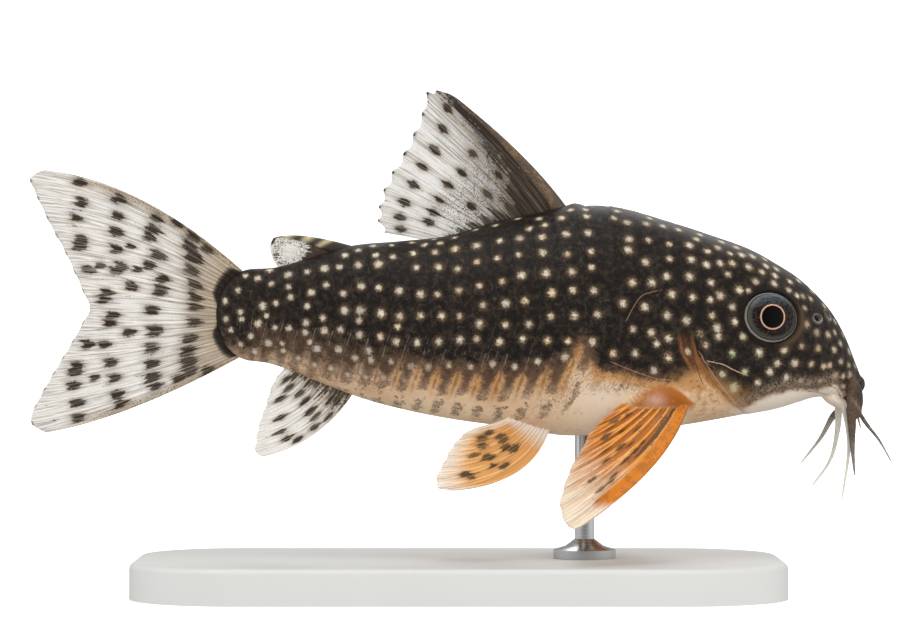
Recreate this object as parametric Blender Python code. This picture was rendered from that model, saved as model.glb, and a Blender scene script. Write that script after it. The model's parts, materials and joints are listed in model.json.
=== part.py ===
"""Corydoras catfish, a still life-size model on a plain display stand.

The head points along +X, +Z is up and the origin is the centre of the stand's underside.
Sizes below are in millimetres, and each finished mesh is scaled to metres.
"""

import math
from dataclasses import dataclass

import bmesh
import bpy
from mathutils import Matrix, Vector

MM = 0.001
# Pieces that meet keep this gap.
GAP = 0.3
# Faces that meet at more than this angle show an edge.
EDGE_ANGLE = math.radians(40)
# The step over which the body's slope is measured.
SLOPE_STEP = 0.2

# Side outline of the body, from the snout to the start of the tail fin: (x, z).
BACK_LINE = [
    (33.7, 17.5), (33.5, 18.1), (33.0, 19.4), (32.3, 21.2), (31.3, 23.1), (30.3, 24.4), (28.3, 26.3),
    (26.3, 27.6), (24.3, 28.7), (21.3, 29.8), (17.3, 31.1), (13.3, 32.2), (9.7, 32.4), (6.8, 31.8),
    (3.5, 31.1), (-1.1, 29.8), (-4.9, 29.4), (-9.0, 29.0), (-12.4, 28.0), (-15.3, 27.2), (-17.0, 27.1),
]
BELLY_LINE = [
    (33.7, 17.5), (33.5, 17.0), (32.6, 16.5), (31.6, 16.4), (29.7, 16.4), (28.3, 16.0), (26.3, 15.4),
    (23.3, 14.9), (19.3, 14.2), (14.3, 13.5), (9.3, 13.2), (7.2, 13.4), (4.3, 13.9), (-0.7, 14.6),
    (-4.7, 15.4), (-7.7, 16.2), (-10.7, 17.3), (-13.7, 18.5), (-15.7, 19.2), (-17.0, 19.4),
]
# Half the width of the body as seen from above: (x, half width).
HALF_WIDTH = [
    (33.7, 0.0), (33.5, 0.9), (32.9, 1.7), (32.3, 2.3), (31.3, 3.0), (30.3, 3.6), (28.3, 4.5), (26.3, 5.2),
    (24.3, 5.8), (21.3, 6.5), (17.3, 7.0), (13.3, 7.1), (9.7, 6.9), (3.5, 6.1), (-1.1, 5.3), (-4.9, 4.5),
    (-9.0, 3.6), (-12.4, 2.8), (-15.3, 2.1), (-17.0, 1.7), (-19.0, 1.1), (-20.6, 0.5),
]
# How far up the section its widest level lies, and how square the section is above and below it.
WIDEST_LEVEL = [
    (33.7, 0.45), (30.3, 0.42), (26.3, 0.38), (19.3, 0.35), (9.7, 0.4), (-1.1, 0.45), (-9.0, 0.5),
    (-21.0, 0.5),
]
BACK_POWER = [(33.7, 2.0), (28.0, 2.3), (20.0, 2.2), (10.0, 2.0), (0.0, 2.0), (-9.0, 2.1), (-21.0, 2.1)]
BELLY_POWER = [
    (33.7, 2.0), (30.0, 2.3), (26.0, 2.7), (18.0, 2.9), (9.7, 2.7), (-1.0, 2.3), (-9.0, 2.0), (-21.0, 2.0),
]

# The tail stalk ends in a half ellipse, seen from the side, from which the tail fin's rays spread.
STALK_X = -17.0
STALK_Z = 23.25
STALK_RUN = 3.6
STALK_RISE = 3.85

# The gill opening slants from the throat forward to the nape, and it parts the head from the trunk.
SNOUT_TIP = 33.7
HEAD_CUT = 19.5
GILL_SLANT = -0.42
SLANT_STARTS = 33.0
SLANT_ENDS = 11.0
GILL_FLARE = 0.22
GILL_FLARE_RUN = 2.2

# Two rows of overlapping scutes on each flank, which meet at the lateral line in a chevron.
SCUTES = 20
FIRST_SCUTE = 12.4
FIRST_PITCH = 1.95
LAST_PITCH = 1.25
SCUTE_STEP = 0.22
STEP_PHASE = 0.86
SCUTES_ON_TRUNK = 12
CHEVRON_ABOVE = -0.1
CHEVRON_BELOW = 0.33
CHEVRON_STARTS = 17.0
CHEVRON_FULL = 12.0
CHEVRON_ENDS = -19.0
CHEVRON_FADES = -15.0
SEAM_TURN = 0.25
# The body's mesh: points round each ring, and rings along its plain stretches.
RING_POINTS = 40
HEAD_RINGS = 19
SHOULDER_RINGS = 6
STALK_END_RINGS = 6

EYE_X = 25.8
EYE_Z = 23.1
EYE_RADIUS = 2.3
EYE_DEPTH = 1.5
EYE_SUNK = 0.75
ORBIT_RIM = 0.2
NOSTRIL_RADIUS = 0.26

STAND_LENGTH = 54.0
STAND_WIDTH = 28.0
STAND_HEIGHT = 3.0
STAND_CORNER = 9.0
STAND_EDGE = 0.5
ROD_X = 10.5
ROD_RADIUS = 0.8
ROD_FOOT_RADIUS = 2.6
ROD_FOOT_RIM = 0.4
ROD_WAIST_RADIUS = 1.6
ROD_WAIST = 0.7
ROD_FOOT_HEIGHT = 1.3
# The rod is drawn up into the belly, and the body's clearance cuts it to length.
ROD_TOP = 15.0


def clear_scene():
    """Removes every object, so that the model starts from nothing."""
    for obj in list(bpy.data.objects):
        bpy.data.objects.remove(obj)


def new_collection(name):
    """A collection under the scene's own."""
    collection = bpy.data.collections.new(name)
    bpy.context.scene.collection.children.link(collection)
    return collection


def new_material(name, colour, roughness, metallic=0.0):
    """A Principled material of one colour."""
    material = bpy.data.materials.new(name)
    material.use_nodes = True
    shader = material.node_tree.nodes["Principled BSDF"]
    shader.inputs["Base Color"].default_value = (*colour, 1.0)
    shader.inputs["Roughness"].default_value = roughness
    shader.inputs["Metallic"].default_value = metallic
    return material


def smooth(value):
    """Eases from 0 to 1 as the value does, and holds outside."""
    value = min(max(value, 0.0), 1.0)
    return value * value * (3.0 - 2.0 * value)


def mix(first, second, share):
    """The value this share of the way from the first to the second."""
    return first + (second - first) * share


def along(points, x):
    """Reads a smooth curve through (x, value) points, which run from high x to low."""
    if x >= points[0][0]:
        return points[0][1]
    if x <= points[-1][0]:
        return points[-1][1]
    last = len(points) - 1
    index = next(i for i in range(last) if points[i + 1][0] <= x)
    slopes = [
        (points[i + 1][1] - points[i][1]) / (points[i + 1][0] - points[i][0])
        for i in range(max(index - 1, 0), min(index + 2, last))
    ]
    here = slopes[1 if index > 0 else 0]
    before = slopes[0]
    after = slopes[-1]
    start = 0.0 if before * here < 0 else (before + here) / 2
    end = 0.0 if after * here < 0 else (after + here) / 2
    (x0, v0), (x1, v1) = points[index], points[index + 1]
    run = x1 - x0
    t = (x - x0) / run
    t2 = t * t
    t3 = t2 * t
    return (
        (2 * t3 - 3 * t2 + 1) * v0
        + (t3 - 2 * t2 + t) * run * start
        + (3 * t2 - 2 * t3) * v1
        + (t3 - t2) * run * end
    )


def stalk_half_height(x):
    """Half the height of the tail stalk's rounded end at this x."""
    share = min((STALK_X - x) / STALK_RUN, 1.0)
    return STALK_RISE * math.sqrt(max(1.0 - share * share, 0.0))


def section(x):
    """Top, bottom, half width, widest level and the two powers of the body's section at x."""
    if x < STALK_X:
        top = STALK_Z + stalk_half_height(x)
        bottom = STALK_Z - stalk_half_height(x)
    else:
        top = along(BACK_LINE, x)
        bottom = along(BELLY_LINE, x)
    widest = mix(bottom, top, along(WIDEST_LEVEL, x))
    return top, bottom, along(HALF_WIDTH, x), widest, along(BACK_POWER, x), along(BELLY_POWER, x)


def section_point(x, turn):
    """(y, z) on the section at x. Turn runs from 0 at the back, by +Y, to 1."""
    top, bottom, half, widest, back_power, belly_power = section(x)
    across = math.sin(2 * math.pi * turn)
    up = math.cos(2 * math.pi * turn)
    power = 2.0 / (back_power if up >= 0 else belly_power)
    reach = (top if up >= 0 else bottom) - widest
    y = half * math.copysign(abs(across) ** power, across)
    z = widest + reach * abs(up) ** power
    return y, z


def lean(station, height):
    """How far a point this high over mid level lies ahead of its station."""
    if station > HEAD_CUT:
        slant_share = smooth((SLANT_STARTS - station) / (SLANT_STARTS - HEAD_CUT))
    else:
        slant_share = smooth((station - SLANT_ENDS) / (HEAD_CUT - SLANT_ENDS))
    chevron_share = smooth((CHEVRON_STARTS - station) / (CHEVRON_STARTS - CHEVRON_FULL))
    chevron_share *= smooth((station - CHEVRON_ENDS) / (CHEVRON_FADES - CHEVRON_ENDS))
    chevron = CHEVRON_ABOVE if height > 0 else CHEVRON_BELOW
    return height * (GILL_SLANT * slant_share + chevron * chevron_share)


def scute_edges():
    """Stations of the scutes' front edges, and of the last one's rear edge."""
    edges = [FIRST_SCUTE]
    for index in range(SCUTES):
        edges.append(edges[-1] - mix(FIRST_PITCH, LAST_PITCH, index / (SCUTES - 1)))
    return edges


EDGES = scute_edges()
TAIL_CUT = EDGES[SCUTES_ON_TRUNK]


def scute_relief(station, turn):
    """Height of the scutes over the plain body: each rises to its free rear edge and drops there."""
    if not EDGES[-1] <= station <= EDGES[0]:
        return 0.0
    index = next(i for i in range(SCUTES) if EDGES[i + 1] <= station)
    phase = (EDGES[index] - station) / (EDGES[index] - EDGES[index + 1])
    rise = phase / STEP_PHASE if phase <= STEP_PHASE else (1.0 - phase) / (1.0 - STEP_PHASE)
    side = min(turn % 1.0, 1.0 - turn % 1.0)
    over_back = smooth((side - 0.02) / 0.06)
    belly_edge = mix(0.43, 0.37, smooth(station / 12.0))
    over_belly = 1.0 - smooth((side - belly_edge) / 0.05)
    seam = 1.0 - 0.85 * math.exp(-(((side - SEAM_TURN) / 0.01) ** 2))
    return SCUTE_STEP * rise * over_back * over_belly * seam


def gill_flare(station, turn):
    """How far the gill cover stands out at its rear edge, on the head's side only."""
    if station < HEAD_CUT:
        return 0.0
    side = abs(math.sin(2 * math.pi * turn))
    return GILL_FLARE * smooth(1.0 - (station - HEAD_CUT) / GILL_FLARE_RUN) * side


def body_point(station, turn):
    """A point of the body's surface."""
    middle = sum(section(station)[:2]) / 2
    x = station
    for _ in range(4):
        y, z = section_point(x, turn)
        x = station + lean(station, z - middle)
    outward = Vector((0.0, y, z - section(x)[3]))
    if outward.length > 0:
        outward.normalize()
    raised = scute_relief(station, turn) + gill_flare(station, turn)
    return Vector((x, y, z)) + outward * raised




def half_width_at(x, z):
    """Half the plain body's width at (x, z)."""
    top, bottom, half, widest, back_power, belly_power = section(x)
    power, reach = (back_power, top - widest) if z >= widest else (belly_power, widest - bottom)
    level = min(abs(z - widest) / reach, 1.0)
    return half * (1.0 - level**power) ** (1.0 / power)


def side_of_body(x, z, side):
    """The plain body's surface point beside (x, z), and the way it faces. Side is -1 or 1."""
    slope_x = (half_width_at(x + SLOPE_STEP, z) - half_width_at(x - SLOPE_STEP, z)) / (2 * SLOPE_STEP)
    slope_z = (half_width_at(x, z + SLOPE_STEP) - half_width_at(x, z - SLOPE_STEP)) / (2 * SLOPE_STEP)
    facing = Vector((-slope_x, side, -slope_z))
    return Vector((x, side * half_width_at(x, z), z)), facing.normalized()


def object_of(mesh_builder, name, material, collection):
    """A new object from a bmesh in millimetres, scaled to metres and shaded smooth but at its edges."""
    bmesh.ops.recalc_face_normals(mesh_builder, faces=mesh_builder.faces)
    bmesh.ops.scale(mesh_builder, vec=(MM, MM, MM), verts=mesh_builder.verts)
    mesh = bpy.data.meshes.new(name)
    mesh_builder.to_mesh(mesh)
    mesh_builder.free()
    mesh.shade_smooth()
    mesh.set_sharp_from_angle(angle=EDGE_ANGLE)
    if material is not None:
        mesh.materials.append(material)
    obj = bpy.data.objects.new(name, mesh)
    collection.objects.link(obj)
    return obj


def helper(obj):
    """Marks an object as a cutter or a piece to join, which isn't part of the model."""
    obj.hide_render = True
    obj.display_type = "WIRE"
    return obj


def loft(stations):
    """A closed skin over rings at these stations, with a fan of faces over each end."""
    shell = bmesh.new()
    rings = [
        [shell.verts.new(body_point(station, index / RING_POINTS)) for index in range(RING_POINTS)]
        for station in stations
    ]
    for ring, following in zip(rings, rings[1:]):
        for index in range(RING_POINTS):
            beside = (index + 1) % RING_POINTS
            shell.faces.new((ring[index], ring[beside], following[beside], following[index]))
    for ring in (rings[0], rings[-1]):
        middle = sum((vert.co for vert in ring), Vector()) / RING_POINTS
        seam = ring[round(SEAM_TURN * RING_POINTS)].co
        hub = shell.verts.new((seam.x, 0.0, middle.z))
        for index in range(RING_POINTS):
            shell.faces.new((ring[index], ring[(index + 1) % RING_POINTS], hub))
    return shell


def head_stations():
    """Rings of the head, close together where the snout rounds off."""
    run = SNOUT_TIP - HEAD_CUT - GAP / 2
    shares = [(ring + 0.15) / (HEAD_RINGS - 0.5) for ring in range(HEAD_RINGS)]
    return [SNOUT_TIP - run * (0.35 * share + 0.65 * share**2) for share in shares if share < 1.0]


def shoulder_stations():
    """Rings between the gill opening and the first scute."""
    last = SHOULDER_RINGS - 1
    return [mix(HEAD_CUT - 0.6, FIRST_SCUTE + 0.25, step / last) for step in range(SHOULDER_RINGS)]


def scute_stations(first, last):
    """Two rings for each scute: its front edge and the crest of its rear edge."""
    stations = []
    for index in range(first, last):
        stations.append(EDGES[index])
        stations.append(mix(EDGES[index], EDGES[index + 1], STEP_PHASE))
    return stations


def stalk_end_stations():
    """Rings over the rounded end of the tail stalk."""
    start = EDGES[-1] - 0.2
    end = STALK_X - STALK_RUN + 0.04
    last = STALK_END_RINGS - 1
    return [mix(start, end, math.sin(math.pi / 2 * step / last)) for step in range(STALK_END_RINGS)]


def whole_body(grow):
    """The whole body as one skin, moved out along its normals by this much."""
    shell = loft(
        head_stations() + shoulder_stations() + scute_stations(0, SCUTES) + stalk_end_stations()
    )
    bmesh.ops.recalc_face_normals(shell, faces=shell.faces)
    shell.normal_update()
    moves = [(vert, vert.normal * grow) for vert in shell.verts]
    for vert, move in moves:
        vert.co += move
    return shell


def settle(obj):
    """Applies the object's Booleans and keeps its largest closed surface."""
    graph = bpy.context.evaluated_depsgraph_get()
    mesh = bpy.data.meshes.new_from_object(obj.evaluated_get(graph))
    obj.modifiers.clear()
    obj.data = mesh
    kept = bmesh.new()
    kept.from_mesh(mesh)
    bmesh.ops.triangulate(kept, faces=kept.faces)
    bmesh.ops.dissolve_degenerate(kept, dist=1e-7, edges=kept.edges)
    islands = []
    unseen = set(kept.verts)
    while unseen:
        front = [unseen.pop()]
        island = set(front)
        while front:
            for edge in front.pop().link_edges:
                for vert in edge.verts:
                    if vert in unseen:
                        unseen.discard(vert)
                        island.add(vert)
                        front.append(vert)
        islands.append(island)
    largest = max(islands, key=len)
    loose = [vert for vert in kept.verts if vert not in largest]
    bmesh.ops.delete(kept, geom=loose, context="VERTS")
    kept.to_mesh(mesh)
    kept.free()
    mesh.shade_smooth()
    mesh.set_sharp_from_angle(angle=EDGE_ANGLE)


def boolean(obj, collection, operation):
    """A Boolean with every object of a collection, by the EXACT solver."""
    modifier = obj.modifiers.new(operation.title(), "BOOLEAN")
    modifier.operation = operation
    modifier.operand_type = "COLLECTION"
    modifier.collection = collection
    modifier.solver = "EXACT"


def facing_turn(facing):
    """The turn that lays the Z axis along the way something faces."""
    return facing.to_track_quat("Z", "Y").to_matrix().to_4x4()


def ball(radii, centre, turn=Matrix.Identity(4), around=20, rings=12):
    """An ellipsoid, turned about its centre."""
    shape = bmesh.new()
    place = Matrix.Translation(centre) @ turn @ Matrix.Diagonal((*radii, 1.0))
    bmesh.ops.create_uvsphere(shape, u_segments=around, v_segments=rings, radius=1.0, matrix=place)
    return shape


def ring_of(major, minor, centre, facing, around=24, tube=6):
    """A torus round the way it faces."""
    shape = bmesh.new()
    upright = Matrix.Translation((major, 0, 0)) @ Matrix.Rotation(math.pi / 2, 4, "X")
    circle = bmesh.ops.create_circle(shape, segments=tube, radius=minor, matrix=upright)
    profile = circle["verts"] + list(shape.edges)
    bmesh.ops.spin(
        shape, geom=profile, cent=(0, 0, 0), axis=(0, 0, 1), angle=2 * math.pi, steps=around, use_merge=True
    )
    bmesh.ops.remove_doubles(shape, verts=shape.verts, dist=1e-4)
    bmesh.ops.transform(shape, matrix=Matrix.Translation(centre) @ facing_turn(facing), verts=shape.verts)
    return shape


@dataclass
class Fan:
    """A fin: rays that spread from a root line to a tip line, with webs between them.

    Root and tips are (x, z) points seen from the side. Each bow is how far the first and the last ray
    bend from their chords, and bow_at is how far along the chord they bend most. The lateral rule gives
    y for a point. A fin with a spine has it between its first two rays.
    """

    root: list
    tips: list
    rays: int
    first_bow: float
    last_bow: float
    bow_at: float = 0.5
    rows: int = 6
    ray_half: float = 0.4
    ray_tip_half: float = 0.2
    web_half: float = 0.25
    web_tip_half: float = 0.12
    spine_half: float = 0.0
    spine_share: float = 0.0
    notch: float = 0.3
    rounded_tips: bool = False
    lateral: object = None


def on_line(points, share, rounded):
    """The point this share of the way along a line of points, cut square or rounded through them."""
    lengths = [math.dist(a, b) for a, b in zip(points, points[1:])]
    target = share * sum(lengths)
    index = 0
    while index < len(lengths) - 1 and target > lengths[index]:
        target -= lengths[index]
        index += 1
    t = min(target / lengths[index], 1.0)
    here = Vector(points[index])
    there = Vector(points[index + 1])
    if not rounded:
        return here.lerp(there, t)
    before = Vector(points[max(index - 1, 0)])
    after = Vector(points[min(index + 2, len(points) - 1)])
    return (
        here * (2 * t**3 - 3 * t**2 + 1)
        + there * (3 * t**2 - 2 * t**3)
        + (there - before) * 0.5 * (t**3 - 2 * t**2 + t)
        + (after - here) * 0.5 * (t**3 - t**2)
    )


def ray_point(fan, place, share, swing):
    """The (x, z) point this share along the ray or web at this place across the fan, 0 to 1.

    Swing turns the whole fin about the middle of its root, towards the head when it hangs.
    """
    root = on_line(fan.root, place, False)
    tip = on_line(fan.tips, place, fan.rounded_tips)
    chord = tip - root
    beside = Vector((-chord.y, chord.x)).normalized()
    bend = root.lerp(tip, fan.bow_at) + beside * mix(fan.first_bow, fan.last_bow, place) * 2
    point = root * (1 - share) ** 2 + bend * 2 * share * (1 - share) + tip * share**2
    hinge = on_line(fan.root, 0.5, False)
    return hinge + Matrix.Rotation(swing, 2) @ (point - hinge)


def fan_columns(fan):
    """(place, kind) of each column of points across the fan: a ray, a web or the spine's middle."""
    gaps = fan.rays - 1
    widths = [1.0] * gaps
    if fan.spine_half:
        widths[0] = fan.spine_share * gaps / (1 - fan.spine_share) * (gaps - 1) / gaps
    total = sum(widths)
    columns = [(0.0, "ray")]
    place = 0.0
    for index, width in enumerate(widths):
        kind = "spine" if fan.spine_half and index == 0 else "web"
        columns.append((place + width / total / 2, kind))
        place += width / total
        columns.append((min(place, 1.0), "ray"))
    return columns


def half_thickness(fan, kind, share):
    """Half the fin's thickness in a column of this kind, this share of the way to its tip."""
    if kind == "spine":
        return mix(fan.spine_half, fan.ray_tip_half, share**1.5)
    if kind == "ray":
        return mix(fan.ray_half, fan.ray_tip_half, share**1.5)
    return mix(fan.web_half, fan.web_tip_half, share**3)


def fan_mesh(fan, side, swing):
    """The fin as one closed body, its two faces split into triangles alike."""
    columns = fan_columns(fan)
    sheet = bmesh.new()
    half = sheet.verts.layers.float.new("half")
    bmesh.ops.create_grid(sheet, x_segments=len(columns) - 1, y_segments=fan.rows, size=1.0)
    for vert in sheet.verts:
        place, kind = columns[round((vert.co.x + 1) / 2 * (len(columns) - 1))]
        share = round((vert.co.y + 1) / 2 * fan.rows) / fan.rows
        length = (on_line(fan.tips, place, fan.rounded_tips) - on_line(fan.root, place, False)).length
        reach = 1.0 - fan.notch / length if kind == "web" else 1.0
        flat = ray_point(fan, place, share * reach, swing)
        vert.co = (flat.x, side * fan.lateral(flat.x, flat.y) if fan.lateral else 0.0, flat.y)
        vert[half] = half_thickness(fan, kind, share)
    bmesh.ops.triangulate(sheet, faces=sheet.faces, quad_method="FIXED")
    sheet.normal_update()
    moves = {vert.index: vert.normal * vert[half] for vert in sheet.verts}
    offset = sheet.verts.layers.float_vector.new("offset")
    for vert in sheet.verts:
        vert[offset] = moves[vert.index]
    grown = bmesh.ops.extrude_face_region(sheet, geom=sheet.faces)
    raised = {item for item in grown["geom"] if isinstance(item, bmesh.types.BMVert)}
    for vert in sheet.verts:
        vert.co += vert[offset] if vert in raised else -vert[offset]
    return sheet


def caudal_root(first_turn, last_turn):
    """Points along the stalk's rounded end, a little inside it. Turns run from its top, 0, to 1."""
    points = []
    for step in range(ROOT_STEPS + 1):
        angle = math.pi * mix(first_turn, last_turn, step / ROOT_STEPS)
        x = STALK_X - (STALK_RUN - ROOT_INSET) * math.sin(angle)
        z = STALK_Z + (STALK_RISE - ROOT_INSET) * math.cos(angle)
        points.append((x, z))
    return points


def pectoral_spread(x, z):
    """How far the pectoral fin stands out from the mid plane: it leaves the flank and spreads downwards."""
    drop = max(16.6 - z, 0.0)
    return 5.6 + 0.72 * drop - 0.018 * drop * drop + 0.05 * (18.8 - x)


def pelvic_spread(x, z):
    """The same for the pelvic fin, which leaves the belly."""
    return 2.9 + 0.35 * max(14.0 - z, 0.0) + 0.22 * max(7.4 - x, 0.0)


def caudal_wave(x, z):
    """A slight bend of the tail fin away from the mid plane, towards its tips."""
    return 0.0022 * (STALK_X - x) ** 2


ROOT_INSET = 0.5
ROOT_STEPS = 6
CAUDAL_UPPER = Fan(
    root=caudal_root(0.02, 0.4855),
    tips=[(-34.3, 35.45), (-35.95, 34.95), (-34.75, 32.4), (-30.75, 23.95)],
    rays=9,
    first_bow=-1.6,
    last_bow=0.0,
    bow_at=0.6,
    rows=7,
    lateral=caudal_wave,
)
CAUDAL_LOWER = Fan(
    root=caudal_root(0.5145, 0.98),
    tips=[(-30.75, 23.65), (-33.7, 18.7), (-34.75, 16.9), (-35.8, 14.3), (-34.4, 13.4)],
    rays=9,
    first_bow=0.0,
    last_bow=0.75,
    bow_at=0.6,
    rows=7,
    lateral=caudal_wave,
)
DORSAL = Fan(
    root=[(9.4, 31.7), (8.2, 31.3), (-1.2, 29.0)],
    tips=[
        (0.8, 40.9), (-1.6, 42.3), (-2.5, 42.3), (-3.3, 40.2), (-4.9, 36.9), (-6.5, 33.8), (-7.0, 31.3),
        (-6.3, 30.1),
    ],
    rays=10,
    first_bow=-0.46,
    last_bow=-0.1,
    bow_at=0.42,
    rows=7,
    spine_half=0.55,
    spine_share=0.12,
    notch=0.5,
)
ADIPOSE = Fan(
    root=[(-8.8, 28.3), (-14.6, 26.4)],
    tips=[(-15.3, 30.1), (-15.65, 29.1), (-15.5, 28.0), (-15.2, 27.4)],
    rays=4,
    first_bow=-0.65,
    last_bow=0.0,
    rows=5,
    spine_half=0.45,
    spine_share=0.3,
    notch=0.05,
)
ANAL = Fan(
    root=[(-8.5, 17.2), (-14.2, 19.4)],
    tips=[
        (-16.4, 11.4), (-17.0, 11.8), (-16.9, 13.2), (-16.6, 14.5), (-16.2, 15.5), (-15.8, 16.9),
        (-15.2, 18.1),
    ],
    rays=8,
    first_bow=1.08,
    last_bow=0.1,
    rows=5,
    rounded_tips=True,
)
PELVIC = Fan(
    root=[(7.6, 14.1), (4.2, 14.9)],
    tips=[
        (-0.7, 8.95), (-1.7, 9.1), (-1.95, 9.6), (-1.75, 10.4), (-1.3, 11.2), (-0.8, 12.2), (-0.2, 13.0),
        (0.5, 13.6), (1.3, 13.9),
    ],
    rays=8,
    first_bow=1.72,
    last_bow=0.1,
    bow_at=0.38,
    rows=6,
    rounded_tips=True,
    lateral=pelvic_spread,
)
PECTORAL = Fan(
    root=[(19.1, 16.9), (17.6, 17.2), (15.4, 16.7)],
    tips=[
        (9.9, 6.35), (9.0, 6.1), (8.2, 7.1), (8.1, 8.3), (8.9, 10.7), (9.8, 12.2), (10.5, 13.5), (11.4, 14.5),
        (12.5, 15.3),
    ],
    rays=9,
    first_bow=1.35,
    last_bow=-0.2,
    bow_at=0.36,
    rows=7,
    ray_half=0.45,
    spine_half=0.6,
    spine_share=0.2,
    rounded_tips=True,
    lateral=pectoral_spread,
)
# The left paired fins are held a little further forward than the right ones.
LEFT_PECTORAL_SWING = math.radians(7)
LEFT_PELVIC_SWING = math.radians(4)

# Barbels: the width at the root, and (x, y, z) points from root to tip.
BARBELS = {
    "barbel_maxillary_right": (
        0.75, [(32.9, -1.75, 15.6), (33.8, -1.95, 14.2), (34.8, -2.15, 12.9), (35.75, -2.4, 11.2)],
    ),
    "barbel_rictal_right": (
        0.95, [(32.6, -1.75, 15.6), (32.6, -1.85, 13.6), (32.65, -1.95, 11.8), (32.85, -2.1, 9.5)],
    ),
    "barbel_mental_right": (
        0.9, [(31.9, -0.8, 16.2), (32.35, -0.85, 13.9), (32.4, -0.9, 11.6), (31.85, -0.9, 7.9)],
    ),
    "barbel_maxillary_left": (
        0.75, [(32.9, 1.8, 15.6), (33.5, 3.1, 15.0), (33.8, 4.4, 14.4), (34.1, 5.6, 13.7)],
    ),
    "barbel_rictal_left": (
        0.95, [(32.4, 1.8, 15.6), (31.4, 2.2, 14.7), (30.4, 2.5, 12.9), (28.8, 2.8, 10.8)],
    ),
    "barbel_mental_left": (0.9, [(31.7, 0.8, 16.2), (31.7, 0.85, 13.9), (31.1, 1.0, 11.2), (29.6, 1.1, 9.0)]),
}
BARBEL_TIP = 0.22
BARBEL_POINTS = 12

# The fleshy lobes at the corners of the mouth, and the lips: (radii, centre).
LIP_LOBE_RADII = (0.68, 0.62, 1.6)
LIP_LOBE_CENTRE = (32.85, 1.75, 16.2)
UPPER_LIP_RADII = (0.7, 1.9, 0.8)
UPPER_LIP_CENTRE = (33.15, 0.0, 17.5)
LOWER_LIP_RADII = (1.25, 1.55, 0.55)
LOWER_LIP_CENTRE = (31.3, 0.0, 16.2)
LOWER_LIP_TILT = math.radians(30)
MOUTH_RADII = (0.3, 1.15, 1.1)
MOUTH_CENTRE = (32.5, 0.0, 16.3)
# Each side has two nostrils: (x, z).
NOSTRILS = [(30.6, 23.0), (29.7, 23.1)]


def barbel_curve(points, width):
    """A tapered round barbel through its points, as a mesh with closed ends."""
    curve = bpy.data.curves.new("barbel", "CURVE")
    curve.dimensions = "3D"
    curve.bevel_depth = width / 2 * MM
    curve.bevel_resolution = 2
    curve.use_fill_caps = True
    spline = curve.splines.new("POLY")
    spline.points.add(BARBEL_POINTS - 1)
    for index in range(BARBEL_POINTS):
        share = index / (BARBEL_POINTS - 1)
        place = on_line(points, share, True) * MM
        spline.points[index].co = (*place, 1.0)
        spline.points[index].radius = mix(1.0, BARBEL_TIP / width, share**0.8)
    holder = bpy.data.objects.new("barbel", curve)
    bpy.context.scene.collection.objects.link(holder)
    graph = bpy.context.evaluated_depsgraph_get()
    mesh = bpy.data.meshes.new_from_object(holder.evaluated_get(graph))
    bpy.data.objects.remove(holder)
    shape = bmesh.new()
    shape.from_mesh(mesh)
    bmesh.ops.remove_doubles(shape, verts=shape.verts, dist=1e-6)
    bmesh.ops.scale(shape, vec=(1 / MM, 1 / MM, 1 / MM), verts=shape.verts)
    return shape


def lip_lobe(side, grow):
    """The fleshy lobe at one corner of the mouth, from which two barbels hang."""
    centre = Vector(LIP_LOBE_CENTRE)
    centre.y *= side
    return ball([radius + grow for radius in LIP_LOBE_RADII], centre, around=14, rings=10)


def lower_lip(grow):
    """The flap behind the mouth, from which the mental barbels hang."""
    tilt = Matrix.Rotation(LOWER_LIP_TILT, 4, "Y")
    return ball([radius + grow for radius in LOWER_LIP_RADII], Vector(LOWER_LIP_CENTRE), tilt, 16, 8)


def eye_ball(side, grow):
    """One eye, or its socket when grown."""
    surface, facing = side_of_body(EYE_X, EYE_Z, side)
    radii = (EYE_RADIUS + grow, EYE_RADIUS + grow, EYE_DEPTH + grow)
    return ball(radii, surface - facing * EYE_SUNK, facing_turn(facing), around=24, rings=14)


def make_head(model, skin):
    """The head, with its lips, orbits, nostrils and mouth."""
    head = object_of(loft(head_stations() + [HEAD_CUT + GAP / 2]), "head", skin, model)
    joined = new_collection("head_pieces")
    cut = new_collection("head_cuts")
    for side in (-1, 1):
        surface, facing = side_of_body(EYE_X, EYE_Z, side)
        rim = ring_of(EYE_RADIUS - 0.1, ORBIT_RIM, surface - facing * 0.12, facing)
        helper(object_of(rim, f"orbit_{side}", None, joined))
        helper(object_of(lip_lobe(side, 0.0), f"lobe_{side}", None, joined))
        helper(object_of(eye_ball(side, GAP), f"socket_{side}", None, cut))
        for index, (x, z) in enumerate(NOSTRILS):
            surface, facing = side_of_body(x, z, side)
            tube = ring_of(NOSTRIL_RADIUS + 0.1, 0.16, surface + facing * 0.04, facing, 12, 6)
            helper(object_of(tube, f"nostril_rim_{side}_{index}", None, joined))
            pit = ball((NOSTRIL_RADIUS, NOSTRIL_RADIUS, 0.6), surface, facing_turn(facing), 10, 6)
            helper(object_of(pit, f"nostril_pit_{side}_{index}", None, cut))
    upper = ball(UPPER_LIP_RADII, Vector(UPPER_LIP_CENTRE), around=16, rings=8)
    helper(object_of(upper, "upper_lip", None, joined))
    helper(object_of(lower_lip(0.0), "lower_lip", None, joined))
    mouth = ball(MOUTH_RADII, Vector(MOUTH_CENTRE), around=14, rings=8)
    helper(object_of(mouth, "mouth_line", None, cut))
    boolean(head, joined, "UNION")
    boolean(head, cut, "DIFFERENCE")
    settle(head)
    remove_collection(joined)
    remove_collection(cut)


def remove_collection(collection):
    """Removes a collection and the objects in it."""
    for obj in list(collection.objects):
        bpy.data.objects.remove(obj)
    bpy.data.collections.remove(collection)


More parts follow.
